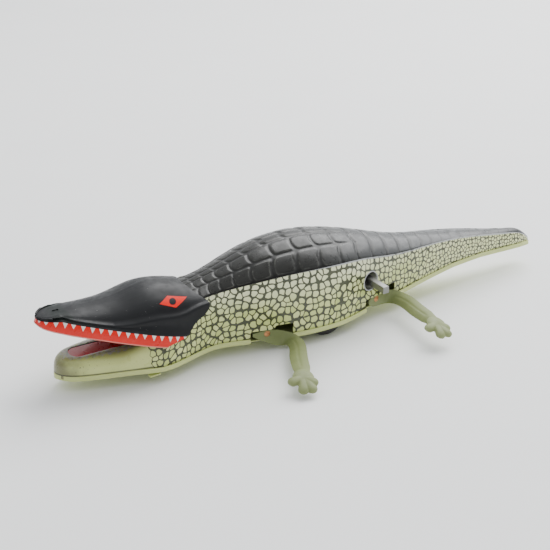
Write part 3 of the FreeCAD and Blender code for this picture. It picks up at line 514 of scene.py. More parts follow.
def scute_height(x, s, span, number):
    """Embossing of the back: 0 in a groove, 1 on a scute. s is -1 to 1 from crease to crease."""
    row = np.clip(np.searchsorted(ROW_EDGES, s) - 1, 0, len(ROW_EDGES) - 2)
    low, high = ROW_EDGES[row], ROW_EDGES[row + 1]
    share = (s - low) / (high - low)
    # the rows end behind the motor, where each groove runs from crease to crease
    plain = smooth(8, 36, x)
    rowed = 1 - plain
    bow = (0.14 + 0.12 * smooth(-30, -70, x)) * 4 * share * (1 - share)
    stagger = 0.07 * np.sin(2.3 * row + 0.9 * np.floor(number))
    moved = number + rowed * (bow + stagger) - 0.40 * (1 - s * s)
    part = moved - np.floor(moved)
    across = np.minimum(s - low, high - s) * span
    lengthways = np.minimum(part, 1 - part) * pitch_at(x)
    across = across + 6.0 * plain * smooth(1.0, 0.80, np.abs(s))
    corner = 0.20 * pitch_at(x)
    out = np.hypot(np.maximum(corner - across, 0), np.maximum(corner - lengthways, 0))
    inside = corner - out
    wide = 0.11 * pitch_at(x) + 0.35
    dome = 0.20 * (1 - (2 * part - 1) ** 2) * (rowed * (1 - (2 * share - 1) ** 2) + plain)
    return smooth(0.0, wide, inside) * (0.80 + dome)


def inside_outline(points, outline):
    """Which (x, z) points lie inside a closed outline."""
    found = np.zeros(len(points), bool)
    for (x1, z1), (x2, z2) in zip(outline, np.roll(outline, -1, axis=0)):
        crosses = (z1 > points[:, 1]) != (z2 > points[:, 1])
        with np.errstate(divide="ignore", invalid="ignore"):
            at = (x2 - x1) * (points[:, 1] - z1) / (z2 - z1) + x1
        found ^= crosses & (points[:, 0] < at)
    return found


def onto_outline(points, outline):
    """The nearest place on the outline to each (x, z) point."""
    best, far = points.copy(), np.full(len(points), np.inf)
    for start, end in zip(outline, np.roll(outline, -1, axis=0)):
        way = end - start
        t = np.clip(((points - start) @ way) / (way @ way), 0, 1)
        near = start + t[:, None] * way
        distance = np.linalg.norm(points - near, axis=1)
        closer = distance < far
        best[closer], far[closer] = near[closer], distance[closer]
    return best


def ring_outline(x, z, radius, count=56):
    turn = circle(count)
    return np.stack([x + radius * np.cos(turn), z + radius * np.sin(turn)], -1)


# Cut-outs in the flanks, as (x, z): an arch over each leg, and the winding hole on the left only
FRONT_ARCH = np.array([(-46.8, 4.0), (-46.8, 11.6), (-46.2, 12.2), (-34.7, 12.2), (-34.2, 13.6),
                       (-33.8, 14.0), (-25.3, 14.0), (-24.8, 13.5), (-24.8, 4.0)])
REAR_ARCH = np.array([(21.2, 4.0), (21.2, 13.3), (21.8, 13.9), (33.2, 13.9), (33.5, 16.9),
                      (34.0, 17.4), (42.7, 17.4), (43.2, 16.9), (43.2, 4.0)])
HOLE_X, HOLE_Z, HOLE_RADIUS = 24.4, 23.9, 5.0
# Bands pressed across the tail: x, bow towards the tail, half length
TAIL_BANDS = ((93, 5, 1.6), (113, 4, 1.5))
TAIL_STEP = 0.22  # rise of the bands, and drop of the plain tail below the scutes


def make_skin():
    """The body's sheet: both flanks, the beaded creases and the embossed back."""
    xs = np.linspace(-94.9, 149.2, 500)
    flank_rows, back_rows = 46, 126
    crease, crease_z, ridge = crease_at(xs), crease_z_at(xs), ridge_at(xs)
    foot_z = FOOT + rise_at(xs)
    scales, scutes = counted(print_at, xs), counted(pitch_at, xs)
    left, back = [], []
    for t in np.linspace(0, 1, flank_rows):
        z = foot_z + (crease_z - 0.5 - foot_z) * t
        drop = (crease_z - z) / print_at(xs)
        left.append(np.stack([xs, -flank_reach(xs, t), z, scales, drop, np.zeros_like(xs)], -1))
    rise = ridge - crease_z
    radius = (crease ** 2 + rise ** 2) / (2 * rise)
    half = np.arcsin(crease / radius)
    deep = raise_at(xs)
    for s in np.linspace(-1, 1, back_rows):
        height = scute_height(xs, np.full_like(xs, s), radius * half, scutes)
        bands = sum(np.exp(-((xs - x - bow * s * s) / wide) ** 2) for x, bow, wide in TAIL_BANDS)
        ledge = 0.35 * smooth(0.94, 1.0, abs(s)) * (1 - smooth(120, 149, xs))
        level = (radius - deep * (1 - height) - ledge
                 + TAIL_STEP * (bands * (1 - s ** 4) - smooth(80, 90, xs)))
        turn = s * half
        y, z = level * np.sin(turn), ridge - radius + level * np.cos(turn)
        back.append(np.stack([xs, y, z, scales, np.zeros_like(xs), height], -1))
    right = [row * (1, -1, 1, 1, 1, 1) + (0, 0, 0, 0, RIGHT_SHIFT, 0) for row in left[::-1]]
    bead = []
    for sign, source in ((-1, left[-1]), (1, right[0])):
        edge = source.copy()
        thick = (0.25 + 0.75 * smooth(-25, 10, xs)) * (1 - smooth(125, 149, xs))
        edge[:, 1] += sign * 0.35 * thick
        edge[:, 2] += 0.1 + 0.9 * thick
        bead.append(edge)
    rows = left + [bead[0]] + back + [bead[1]] + right
    table = np.stack(rows, 1)
    count, across = table.shape[:2]
    points, cells = table[..., :3].reshape(-1, 3).copy(), table[..., 3:].reshape(-1, 3)
    faces = grid_faces(count, across)
    row = faces[:, :2].min(1) % across
    # material of each strip of faces: flank, bead, back, bead, flank
    ends = np.array((flank_rows - 1, flank_rows + 1, flank_rows + back_rows,
                     flank_rows + back_rows + 2))
    index = np.array((0, 2, 1, 2, 0))[np.searchsorted(ends, row, side="right")]
    centre = points[faces].mean(1)
    gone = np.zeros(len(faces), bool)
    flank = index == 0
    hole = ring_outline(HOLE_X, HOLE_Z, HOLE_RADIUS)
    for outline, sides in ((FRONT_ARCH, (-1, 1)), (REAR_ARCH, (-1, 1)), (hole, (-1,))):
        for side in sides:
            inside = inside_outline(centre[:, [0, 2]], outline)
            inside &= flank & (np.sign(centre[:, 1]) == side)
            edge = np.intersect1d(faces[inside], faces[~inside])
            points[edge[:, None], [0, 2]] = onto_outline(points[edge][:, [0, 2]], outline)
            gone |= inside
    faces, index = faces[~gone][:, ::-1], index[~gone]
    used, faces = np.unique(faces, return_inverse=True)
    faces = faces.reshape(-1, 4)
    return piece("body_skin", points[used], faces, "chassis",
                 (FLANK, BACK, CREASE), index, {"cell": cells[used]}, SKIN, ("body_shell",))


def make_neck_wall():
    """The dark wall at the back of the mouth, in two halves beside the slot for the jaw's arm."""
    x, halves, faces = -94.7, [], []
    for sign in (-1, 1):
        z = np.linspace(12.8, float(ridge_at(x)) - 0.9, 30)
        reach = np.interp(z, (12.8, float(crease_z_at(x)), float(ridge_at(x))), (19.4, 16.8, 3.0))
        arch = np.sqrt(np.clip(1 - ((z - 29.5) / 5.4) ** 2, 0.05, 1)) * 16.8
        reach = np.where(z > 29.5, arch, reach)
        grid = []
        for t in np.linspace(0, 1, 14):
            bowed = np.full_like(z, x + 0.5 * math.sin(math.pi * t))
            grid.append(np.stack([bowed, sign * (1.3 + (reach - 1.3) * t), z], -1))
        start = sum(map(len, halves))
        quads = grid_faces(14, len(z)) + start
        faces.append(quads if sign > 0 else quads[:, ::-1])
        halves.append(np.concatenate(grid))
    return piece("throat_wall", np.concatenate(halves), np.concatenate(faces), "chassis",
                 (THROAT,), sheet=SKIN, nodes=("body_shell",))


# --- the lower jaw ---

# The wall's plan on one side, as (x, half width), from beside the tip to the neck
JAW = [(-141.6, 3.4), (-139, 6.2), (-135, 8.6), (-128, 11.2), (-121, 13.3), (-108, 17.2),
       (-95, 20.7)]
JAW_TIP = -142.6
JAW_REAR = JAW[-1][0]
JAW_TOP = 16.1  # height of the tongue
TONGUE = 5.6  # its half width
MARK_PITCH = 4.2  # of the worn tooth marks round the rim
MARK_DEPTH = 2.6  # from the wall's foot to their points, on the rim's 0 to 6
SEAM_Z = 8.75  # of the fold above the pan's flange


def jaw_plan(count=260):
    """The jaw's plan outline from left rear round the tip to right rear, evenly spaced."""
    half = [(x, -y) for x, y in reversed(JAW)]
    curve = along(half + [(JAW_TIP, 0.0)] + [(x, -y) for x, y in reversed(half)])
    dense = np.stack([c(np.linspace(0, 1, 2000)) for c in curve], -1)
    run = np.concatenate([[0], np.cumsum(np.linalg.norm(np.diff(dense, axis=0), axis=1))])
    even = np.linspace(0, run[-1], count)
    return np.stack([np.interp(even, run, dense[:, k]) for k in (0, 1)], -1), even - run[-1] / 2


def make_jaw():
    """A domed rim that rolls up from the wall to the red tongue, and rises towards the neck."""
    outer, run = jaw_plan()
    inner_x = JAW_REAR + (outer[:, 0] - JAW_REAR) * 0.857
    inner = np.column_stack([inner_x, np.sign(outer[:, 1])])
    tip = np.clip((-131.0 - inner[:, 0]) / 4.9, 0, 1)
    inner[:, 1] *= TONGUE * np.sqrt(1 - tip ** 2)
    # share of the way in from the wall to the tongue, and height
    profile = [(0.0, FOOT + 0.1), (0.0, 9.2), (0.006, 10.9), (0.03, 12.3), (0.09, 13.6),
               (0.19, 14.7), (0.34, 15.5), (0.54, 15.95), (0.76, 16.15), (1.0, JAW_TOP)]
    rim = 7.0  # about the rim's width, so that both columns are lengths
    curves = along([(rim * a, b) for a, b in profile])
    share, level = (curve(np.linspace(0, 1, 44)) for curve in curves)
    share = np.clip(share / rim, 0, 1)
    lift = 6.4 * smooth(-117, -98, outer[:, 0])
    lean = 0.11 * smooth(-118, -96, outer[:, 0]) * np.sign(outer[:, 1])
    steps = [(a, z, 0.0) for a, z in zip(share, level)]
    steps += [(1.0, JAW_TOP - 0.2, k / 14) for k in range(1, 15)]
    rows = []
    for a, z, shrink in steps:
        ring = (outer + (inner - outer) * a) * (1, 1 - shrink)
        height = z + lift * smooth(9.0, 13.5, z) * (1 - smooth(0.12, 0.8, a))
        ring[:, 1] -= lean * (height - FOOT) * (1 - a)
        # the printed scales carry on from the front of the flanks
        size, (front, _, _, crease_z, *_) = 3.1, BODY[0]
        down = (crease_z - height) / size + RIGHT_SHIFT * (ring[:, 1] > 0)
        cell = np.column_stack([(ring[:, 0] - front) / size, down, np.zeros_like(run)])
        edge = np.column_stack([np.full_like(run, 6 * a + 7 * shrink), run, np.zeros_like(run)])
        rows.append(np.column_stack([ring, height, edge, cell]))
    table = np.stack(rows)
    count, across = table.shape[:2]
    faces = grid_faces(count, across)
    index = (faces[:, 0] // across >= len(share) - 1).astype(int)
    flat = table.reshape(-1, 9)
    corners = flat[faces][:, :, :3]
    diagonals = corners[:, 2] - corners[:, 0], corners[:, 3] - corners[:, 1]
    keep = np.linalg.norm(np.cross(*diagonals), axis=1) > 1e-6
    fields = {"ring": flat[:, 3:6], "cell": flat[:, 6:]}
    return piece("lower_jaw", flat[:, :3], faces[keep], "chassis", (FLANK, MOUTH),
                 index[keep], fields, SKIN, ("body_shell",))


# --- the head ---

# With the mouth shut: x, lip half width, lip height, cheek half width, cheek height, crest height
HEAD = [
    (-149.65, 0.25, 17.9, 0.2, 20.6, 21.0), (-149.3, 2.5, 17.7, 1.9, 20.8, 21.4),
    (-148.4, 4.7, 17.45, 4.0, 21.1, 21.9), (-147, 6.5, 17.3, 5.7, 21.4, 22.5),
    (-144, 8.6, 17.1, 7.6, 21.8, 23.5), (-140, 10.5, 16.9, 9.3, 22.0, 24.9),
    (-136, 12.2, 16.7, 11.0, 22.1, 26.2), (-130, 14.1, 16.45, 12.9, 22.3, 27.7),
    (-124, 15.8, 16.2, 14.6, 22.6, 29.3), (-118, 17.6, 16.0, 16.1, 23.2, 31.2),
    (-112, 19.2, 15.8, 17.6, 24.2, 33.6), (-106, 20.6, 15.65, 18.7, 25.6, 36.8),
    (-100, 21.8, 15.5, 19.4, 27.2, 39.6), (-92, 22.5, 15.3, 19.8, 28.6, 41.2),
    (-84, 22.4, 15.2, 19.6, 30.2, 41.8), (-76, 21.6, 15.2, 18.8, 34.2, 41.6),
    (-66, 20.6, 15.2, 17.8, 37.0, 41.2),
]
# x of the head's rear edge against height
HEAD_EDGE = spline((12, 16, 20, 26, 31.5, 37, 41, 46),
                   (-91.8, -90.5, -82.6, -77.2, -72, -70.6, -72.0, -74.0))
PIVOT = (-80.0, 31.0)  # the jaw pin, as (x, z)
MOUTH_ANGLE = math.radians(15)
LIP_BAND = 5.6  # height of the red lip
TOOTH_PITCH = 4.25
EYE = [(-96.2, 34.4), (-90.5, 38.0), (-82.1, 37.0)]  # three corners of its lozenge, as (x, z)
NOSTRIL = (-140.2, 24.0)


def opened(points):
    """Turns points of the shut head about the jaw pin to the open mouth."""
    x, z = rotate(points[:, 0] - PIVOT[0], points[:, 2] - PIVOT[1], -MOUTH_ANGLE)
    return np.stack([PIVOT[0] + x, points[:, 1], PIVOT[1] + z], -1)


def make_head():
    """The head's sheet, built shut, trimmed to its rear edge, and opened about the jaw pin."""
    columns = along(HEAD)
    half_rows, count = 84, 300
    # Places of the section's control points on 0 (lip) to 1 (crest)
    knots = np.array([0, 0.04, 0.10, 0.17, 0.24, 0.32, 0.42, 0.50, 0.58, 0.70, 0.85, 1.0])
    places = np.linspace(0, 1, half_rows)
    weights = np.stack([spline(knots, unit)(places) for unit in np.eye(len(knots))], -1)

    def section(u):
        """Half sections at each u: x, y and z of the control points, lip band and lip height."""
        x, lip, lip_z, cheek, cheek_z, crest = (c(u) for c in columns)
        small = smooth(0.0, 0.07, u)
        band = np.minimum(LIP_BAND, 0.75 * (crest - lip_z))
        ridge_z = np.maximum(cheek_z, lip_z + band + 0.3 + 1.3 * small)
        ridge_z = np.minimum(ridge_z, crest - 0.25)
        slope = (cheek - lip) / np.maximum(ridge_z - lip_z, 0.5)
        top_y = lip + slope * band * 0.6
        rise = crest - ridge_z
        radius = (cheek ** 2 + rise ** 2) / (2 * rise)
        full = np.arcsin(np.clip(cheek / radius, 0, 1))
        full = np.where(rise < cheek, full, np.pi - full)
        top_z = lip_z + band
        ys = [lip, lip + 0.12 * small, top_y, top_y - 0.35 * small,
              (top_y + cheek) / 2 - 0.7 * small, cheek + 0.15 * small]
        zs = [lip_z, lip_z + 0.5 * band, top_z, top_z + 0.12 * (ridge_z - top_z),
              top_z + 0.52 * (ridge_z - top_z), ridge_z]
        # the crown's arc, sunk a little above the cheek
        for share, sunk in ((0.90, 0.45), (0.80, 0.25), (0.68, 0), (0.48, 0), (0.24, 0), (0, 0)):
            turn = full * share
            ys.append((radius - sunk * small) * np.sin(turn))
            zs.append(crest - radius + (radius - sunk * small) * np.cos(turn))
        return x, np.stack(ys, -1), np.stack(zs, -1), band, lip_z

    fine = np.linspace(0, 1, 900)
    x, ys, zs, *_ = section(fine)
    z_rows, y_rows = zs @ weights.T, ys @ weights.T
    # the rear edge, with a round notch over the neck
    notch = -61.5 - np.sqrt(np.maximum(18 ** 2 - y_rows ** 2, 0))
    rear = HEAD_EDGE(z_rows)
    rear = np.where(z_rows > 34, np.minimum(rear, notch), rear)
    ends = fine[np.argmax(x[:, None] > rear, axis=0)]
    u = ends[None, :] * np.linspace(0, 1, count)[:, None] ** 0.92
    x, ys, zs, band, lip_z = section(u)
    y, z = (ys * weights).sum(-1), (zs * weights).sum(-1)
    first = int(0.19 * half_rows)  # the section is eased above the lip
    for _ in range(10):
        for part in (y, z):
            part[:, first:-1] = (part[:, first - 1:-2] + 2 * part[:, first:-1]
                                 + part[:, first + 1:]) / 4
    lip_steps = np.hypot(np.diff(columns[0](fine)), np.diff(columns[1](fine)))
    run = np.interp(u, fine, np.concatenate([[0], np.cumsum(lip_steps)]))
    depth = LIP_BAND * (1 - np.clip((z - lip_z) / band, 0, 2))

    def swell(at_x, at_z, long, high, depth):
        return np.exp(-((x - at_x) / long) ** 2 - ((z - at_z) / high) ** 2) * depth

    y = y - swell(*NOSTRIL, 2.6, 1.3, 0.7) + swell(-91.0, 40.0, 8.0, 1.6, 0.45)
    grid = np.stack([x, -y, z], -1)
    other = grid[:, ::-1] * (1, -1, 1)
    table = np.concatenate([grid, other[:, 1:]], 1)
    lips = np.stack([run, depth, np.zeros_like(run)], -1)
    lips = np.concatenate([lips, lips[:, ::-1][:, 1:]], 1)
    # the lip's edge rolls under and inwards
    rolls = [(0.9, 0.35), (0.75, -0.15), (0.3, -0.32)]
    left_roll = [table[:, :1] + (0, inwards, lift) for inwards, lift in rolls]
    right_roll = [table[:, -1:] + (0, -inwards, lift) for inwards, lift in rolls[::-1]]
    lip_edge = lips[:, :1] * (1, 0, 1) + (0, LIP_BAND, 0)
    table = np.concatenate(left_roll + [table] + right_roll, 1)
    lips = np.concatenate([lip_edge] * 3 + [lips] + [lip_edge] * 3, 1)
    # neither side crosses the middle at the tip
    middle = table.shape[1] // 2
    table[:, :middle, 1] = np.minimum(table[:, :middle, 1], 0)
    table[:, middle:, 1] = np.maximum(table[:, middle:, 1], 0)
    flat = table.reshape(-1, 3)
    edge_a, edge_b = np.subtract(EYE[1], EYE[0]), np.subtract(EYE[2], EYE[1])
    offsets = flat[:, [0, 2]] - EYE[0]
    eye = np.linalg.solve(np.stack([edge_a, edge_b], -1), offsets.T).T
    rows, across = table.shape[:2]
    faces = grid_faces(rows, across)[:, ::-1]
    depths = lips.reshape(-1, 3)[:, 1]
    index = (depths[faces].mean(1) > 0).astype(int)
    fields = {"shut": flat[:, [0, 2, 1]], "eye": np.column_stack([eye, np.zeros(len(flat))]),
              "lip": lips.reshape(-1, 3)}
    return piece("head_skin", opened(flat), faces, "head", (HEAD_PAINT, LIP), index,
                 fields, SKIN, ("head_shell",))


# --- legs ---

# Rivet, plan angle and resting tilt of a left leg, whose frame starts on the rivet, -Y outwards
LEGS = {"front": ((-38.0, -19.2, 9.8), 11.0, 7.0), "rear": ((30.0, -17.2, 11.5), -11.0, -7.0)}
# Centre line from shoulder to wrist: x, outward reach, height, direction of the width, width
LEG_LINES = {
    "front": [((-7.6, 0, 0.3), (0, 0, 1), 1.6), ((-4.0, 0, -0.6), (0, 0, 1), 4.4),
              ((0, 0, -1.5), (0, 0, 1), 6.9), ((5.0, 0, -2.9), (0.3, 0, 1), 8.4),
              ((9.8, 1.4, -4.0), (0.5, 0.1, 0.86), 8.2), ((11.8, 6.2, -3.6), (0.9, 0.3, 0.45), 7.8),
              ((8.8, 20.0, -3.2), (0.93, 0.3, 0.2), 8.9),
              ((2.8, 41.8, -2.4), (0.94, 0.34, 0.05), 8.4)],
    "rear": [((-5.6, 0, -0.6), (0, 0, 1), 2.6), ((-2.6, 0, -0.9), (0, 0, 1), 5.6),
             ((0, 0, -1.0), (0, 0, 1), 6.4), ((5.0, 0, -1.0), (0.15, 0, 1), 7.4),
             ((8.8, 1.6, -1.0), (0.4, 0.1, 0.9), 8.0), ((10.4, 7.0, -0.8), (0.8, 0.1, 0.6), 7.6),
             ((6.8, 21.0, -0.4), (0.88, 0.1, 0.45), 8.4),
             ((1.8, 38.2, 0.0), (0.94, 0.1, 0.3), 7.8)],
}
# Middle of each paw, and the direction in which its limb comes in
PAWS = {"front": ((1.6, 44.4, -2.9), -90.0), "rear": ((1.2, 40.5, -0.9), -97.0)}
TOES = [(-80, 5.8, 2.4), (-20, 6.8, 2.6), (16, 7.0, 2.6), (50, 5.0, 2.5)]  # angle, reach, radius
PAW_DROOP = 24.0


def leg_ribbon(end):
    """The stamped limb: a crowned strip with an embossed line down its middle."""
    table = np.array([(x, -out, z, *np.multiply(way, (1, -1, 1)), width)
                      for (x, out, z), way, width in LEG_LINES[end]])
    chords = np.linalg.norm(np.diff(table[:, :3], axis=0), axis=1)
    knots = np.concatenate([[0], np.cumsum(chords)]) / chords.sum()
    t = np.linspace(0, 1, 90)
    centre = np.stack([spline(knots, table[:, k])(t) for k in range(3)], -1)
    across = np.stack([np.interp(t, knots, table[:, k]) for k in range(3, 6)], -1)
    width = np.interp(t, knots, table[:, 6]) * (1 - 0.24 * smooth(0.86, 1.0, t))
    across /= np.linalg.norm(across, axis=1)[:, None]
    forward = np.gradient(centre, axis=0)
    normal = np.cross(across, forward)
    normal /= np.linalg.norm(normal, axis=1)[:, None]
    normal *= np.sign(normal[-1, 2])
    limb = smooth(0.25, 0.4, t)
    groove = 0.30 * limb * (1 - smooth(0.85, 0.95, t))

    def line(share, narrow, lift):
        """One line of points along the limb, at a share of the way across it, -1 to 1."""
        crown = (0.75 * (1 - share ** 2) - 0.25 * abs(share)) * limb + lift
        return centre + across * (share * narrow * width / 2)[:, None] + normal * crown[:, None]

    shares = np.linspace(-1, 1, 17)
    rows = [line(share, 1.0, 0.45 - groove * np.exp(-(share / 0.12) ** 2)) for share in shares]
    rows += [line(share, 0.97, -0.35) for share in shares[::-1]]
    points = np.stack(rows, 1)
    count, ring = points.shape[:2]
    faces = grid_faces(count, ring, wrap=True)
    caps = [list(range(ring))[::-1], [(count - 1) * ring + k for k in range(ring)]]
    return points.reshape(-1, 3), [list(face) for face in faces] + caps


def paw_shape(end):
    """A domed paw with a thumb and three toes, pressed creases between them."""
    (x, out, z), heading = PAWS[end]
    count, rings, palm_size = 160, 14, 5.5
    turn = circle(count)
    ray = np.stack([np.cos(turn), np.sin(turn)], -1)
    angles, reaches, radii = np.array(TOES).T
    bearing = np.radians(angles)
    centres = np.stack([reaches * np.cos(bearing), reaches * np.sin(bearing)], -1)
    along_ray = ray @ centres.T
    side = np.sqrt(np.maximum((centres ** 2).sum(1)[None] - along_ray ** 2, 0))
    hit = along_ray + np.sqrt(np.maximum(radii ** 2 - side ** 2, 0))
    hit[(side > radii) | (along_ray < 0)] = 0
    edge = np.maximum(hit.max(1), 5.2)
    kernel = np.array([1, 4, 6, 4, 1]) / 16
    edge = np.convolve(np.concatenate([edge[-2:], edge, edge[:2]]), kernel, "valid")
    points, faces = [], []
    for top in (True, False):
        base = len(points)
        for k in range(rings + 1):
            share = math.sin(math.pi / 2 * k / rings)
            flat = ray * (edge * share)[:, None]
            # each toe is a round bar from the palm to its tip
            on_bar = np.clip((flat @ centres.T) / (centres ** 2).sum(1), 0.45, 1.05)[..., None]
            near = np.linalg.norm(flat[:, None] - centres[None] * on_bar, axis=2)
            toe = np.sqrt(np.clip(1 - (near / (radii + 0.15)) ** 2, 0, 1)).max(1)
            palm = np.sqrt(np.clip(1 - (np.linalg.norm(flat, axis=1) / palm_size) ** 2, 0, 1))
            swell = np.maximum(toe, palm * 0.95) * (1 - share ** 6)
            height = 0.30 + 1.15 * swell if top else -0.45 + 0.25 * swell
            points.extend(np.column_stack([flat, height]))
        quads = grid_faces(rings + 1, count, wrap=True) + base
        ring = [base + count + k for k in range(count)]
        for face in [*quads[count:], ring]:
            faces.append(list(face) if top else list(face)[::-1])
    rim = np.arange(count)
    upper, lower = rings * count, (2 * rings + 1) * count
    faces.extend(np.stack([upper + rim, lower + rim, lower + (rim + 1) % count,
                           upper + (rim + 1) % count], -1))
    points = np.array(points)
    ahead, aside = rotate(points[:, 0], points[:, 1], math.radians(heading))
    aside, up = rotate(aside, points[:, 2], math.radians(PAW_DROOP))
    moved = np.stack([ahead + x, aside - out, up + z + 0.1], -1)
    used, flat_faces = np.unique(np.concatenate([np.array(f) for f in faces]), return_inverse=True)
    sizes = np.cumsum([len(f) for f in faces])[:-1]
    return moved[used], [list(f) for f in np.split(flat_faces, sizes)]


def make_leg(end, side):
    """One leg: a limb and its paw as one mesh."""
    ribbon, ribbon_faces = leg_ribbon(end)
    paw, paw_faces = paw_shape(end)
    points = np.concatenate([ribbon, paw])
    faces = ribbon_faces + [[v + len(ribbon) for v in face] for face in paw_faces]
    origin, plan, tilt = LEGS[end]
    # both sides are one pressing: where the left leg is tilted one way, the right is the other
    lean = math.radians(0 if side == "left" else -2 * tilt)
    points[:, 0], points[:, 2] = rotate(points[:, 0], points[:, 2], -lean)
    points[:, 0], points[:, 1] = rotate(points[:, 0], points[:, 1], -math.radians(plan))
    points = points + np.array(origin)
    if side == "right":
        points = points * (1, -1, 1)
        faces = [face[::-1] for face in faces]
    name = f"leg_{end}_{side}"
    return piece(f"{name}_limb", points, faces, name, (LEG_PAINT,), nodes=(name,),
                 angle=50)


# --- small trim ---

def make_hole_rim():
    """The rolled lip of the winding hole: a thin tube that follows the left flank."""
    steps, sides, radius, thick = 72, 12, 5.05, 0.32
    turn = circle(steps)
    x, z = HOLE_X + radius * np.cos(turn), HOLE_Z + radius * np.sin(turn)
    low = FOOT + rise_at(x)
    y = 0.05 - flank_reach(x, (z - low) / (crease_z_at(x) - low))
    rings = []
    for a in circle(sides):
        wide = thick * math.cos(a)
        rings.append(np.stack([x + wide * np.cos(turn), y + thick * math.sin(a),
                               z + wide * np.sin(turn)], -1))
    faces = grid_faces(steps + 1, sides, wrap=True) % (steps * sides)
    return piece("winding_hole_rim", np.stack(rings, 1).reshape(-1, 3), faces[:, ::-1], "chassis",
                 (CREASE,))


def make_tab():
    """The bent tab that clamps the belly pan near the front of the left flank."""
    x, y, z = np.meshgrid((-103.6, -98.2), (-20.9, -18.2), (4.5, 5.05), indexing="ij")
    corners = np.stack([x, y, z + 0.06 * (x + 101)], -1).reshape(-1, 3)
    faces = [(0, 1, 3, 2), (4, 6, 7, 5), (0, 4, 5, 1), (2, 3, 7, 6), (0, 2, 6, 4), (1, 5, 7, 3)]
    return piece("pan_tab", corners, faces, "chassis", (PAN_PAINT,))


# --- wheels and small turned parts ---

def lathe(name, profile, x, z, body, slot, material, nodes, count=96):
    """A ring or disc turned about an axis along Y. profile is a closed loop of (radius, y)."""
    turn = circle(count)
    points = [[(x + r * math.cos(a), y, z + r * math.sin(a)) for r, y in profile] for a in turn]
    size = len(profile)
    quads = grid_faces(count + 1, size, wrap=True) % (count * size)
    return piece(name, np.array(points).reshape(-1, 3), quads, body, (material,), nodes=nodes,
                 angle=30)


def make_wheels():
    """Ribbed tyres and dished hubs of the two drive wheels."""
    axle = (-2, 11)
    start = 16  # of each wheel, measured out from the middle
    tread = [(8.05, 0.0), (10.3, 0.0), (10.8, 0.25), (11.0, 0.7), (11.0, 1.1), (10.75, 1.2),
             (10.75, 1.4), (11.0, 1.5), (11.0, 2.5), (10.75, 2.6), (10.75, 2.8), (11.0, 2.9),
             (11.0, 3.3), (10.8, 3.75), (10.3, 4.0), (8.05, 4.0)]
    dish = [(1.52, 0.0), (8.0, 0.0), (8.0, 4.0), (7.3, 4.0), (7.0, 3.6), (6.6, 2.5), (4.0, 2.1),
            (2.9, 2.5), (2.7, 3.6), (2.5, 3.9), (1.52, 3.9)]
    for side, sign in (("left", -1), ("right", 1)):
        for name, profile, slot, material, node in (
                (f"tyre_{side}_ribbed", tread, "tyre_rubber", RUBBER, f"tyre_{side}"),
                (f"hub_{side}_dished", dish, "bare_steel", TIN, f"wheel_hub_{side}")):
            loop = [(r, sign * (start + y)) for r, y in profile][::-sign]
            lathe(name, loop, *axle, "drive_axle", slot, material, (node,))


# --- paint everything ---

FLANK = pebble_material()
BACK = back_material()
CREASE = crease_material()
HEAD_PAINT = head_material()
LIP = lip_material()
MOUTH = mouth_material()
THROAT = painted("throat_dark", (0.012, 0.013, 0.010), (0.025, 0.027, 0.02))
LEG_PAINT = painted("leg_sage", (0.180, 0.215, 0.075), (0.230, 0.262, 0.105), (0.48, 0.62), 0.02)
PAN_PAINT = painted("pan_olive", (0.54, 0.60, 0.20), (0.63, 0.68, 0.27), (0.32, 0.46), 0.15)
STEEL = metal("bright_steel", (0.24, 0.24, 0.23), (0.40, 0.40, 0.39), 0.36, (8, 0.3, 8))
TIN = metal("tinned_sheet", (0.40, 0.40, 0.38), (0.58, 0.58, 0.56), 0.34, (0.5, 5, 5))
BRASS = metal("turned_brass", (0.52, 0.33, 0.12), (0.72, 0.50, 0.22), 0.26, (4, 0.6, 4),
              (0.22, 0.12, 0.05))
COPPER = metal("copper_rivet", (0.50, 0.20, 0.08), (0.74, 0.36, 0.17), 0.28, (3, 3, 3),
               (0.18, 0.07, 0.03))
RUBBER = rubber_material()

make_skin()
make_neck_wall()
make_jaw()
make_head()
for end in ("front", "rear"):
    for side in ("left", "right"):
        make_leg(end, side)
make_wheels()
make_hole_rim()
make_tab()

BY_SLOT = {"pan_green": PAN_PAINT, "tinned_steel": TIN, "bare_steel": STEEL, "brass": BRASS,
           "leg_green": LEG_PAINT, "tyre_rubber": RUBBER, "black_back": BACK,
           "black_head": HEAD_PAINT}
slots = {part["node"]: part["material_slot"] for part in frame["record"]["subparts"]}
for name, node in frame["nodes"].items():
    node.data.materials.clear()
    node.data.materials.append(COPPER if name == "leg_rivets" else BY_SLOT[slots[name]])
    node.data.set_sharp_from_angle(angle=math.radians(30))

# --- floor, lights and camera ---

floor_mesh = bpy.data.meshes.new("floor")
floor_mesh.from_pydata([(-4, -4, 0), (4, -4, 0), (4, 4, 0), (-4, 4, 0)], [], [(0, 1, 2, 3)])
floor = add("floor", floor_mesh)
paper = Paint("paper")
floor_mesh.materials.append(paper.finish(
    paper.mix(paper.noise(60.0, 3.0), (0.88, 0.885, 0.885), (0.91, 0.915, 0.91)), 0.7,
    paper.bump(paper.noise(2.0, 3.0), 0.05, 0.2)))

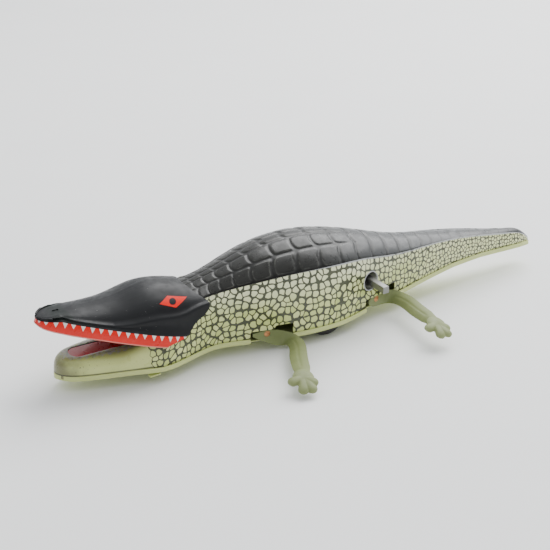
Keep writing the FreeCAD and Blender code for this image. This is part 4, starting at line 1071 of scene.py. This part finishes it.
world = bpy.data.worlds.new("studio")
bpy.context.scene.world = world
world.use_nodes = True
tree = world.node_tree
sky = tree.nodes.new("ShaderNodeTexCoord")
# brighter overhead and behind the toy, dimmer in front of its left flank
toward = tree.nodes.new("ShaderNodeVectorMath")
toward.operation = "DOT_PRODUCT"
toward.inputs[1].default_value = (0.45, 0.62, 0.64)
shade = tree.nodes.new("ShaderNodeMapRange")
shade.interpolation_type = "SMOOTHSTEP"
for socket, value in (("From Min", -0.5), ("From Max", 0.95), ("To Min", 0.42),
                      ("To Max", 1.42)):
    shade.inputs[socket].default_value = value
tree.links.new(sky.outputs["Generated"], toward.inputs[0])
tree.links.new(toward.outputs["Value"], shade.inputs["Value"])
tree.links.new(shade.outputs["Result"], tree.nodes["Background"].inputs["Strength"])
tree.nodes["Background"].inputs["Color"].default_value = (0.96, 0.98, 1.0, 1.0)


def softbox(name, place, aim, size, power, colour=(1, 1, 1)):
    """A round soft light at a place, in metres, that looks at aim."""
    light = bpy.data.lights.new(name, "AREA")
    light.shape, light.size, light.energy, light.color = "DISK", size, power, colour
    obj = add(name, light)
    obj.location = place
    obj.rotation_euler = (Vector(aim) - Vector(place)).to_track_quat("-Z", "Y").to_euler()


softbox("key", (0.75, 0.35, 0.95), (0.1, 0, 0.02), 1.3, 24.0)
softbox("fill", (-1.2, -1.4, 1.6), (0, 0, 0.03), 3.2, 6.0, (0.97, 0.98, 1.0))

camera = bpy.data.cameras.new("camera")
camera.lens, camera.sensor_width = 85.09, 36.0
camera.clip_start, camera.clip_end = 0.01, 20
view = add("camera", camera)
pitch, heading, roll = math.radians(24.206), math.radians(31.966), math.radians(0.205)
forward = Vector((math.cos(pitch) * math.sin(heading), math.cos(pitch) * math.cos(heading),
                  -math.sin(pitch)))
aim, distance = Vector((-21.438, 0, 30.42)), 660.75
view.location = (aim - forward * distance) * MM
turned = forward.to_track_quat("-Z", "Y").to_matrix().to_4x4() @ Matrix.Rotation(roll, 4, "Z")
view.rotation_euler = turned.to_euler()
bpy.context.scene.camera = view

bpy.context.view_layer.update()
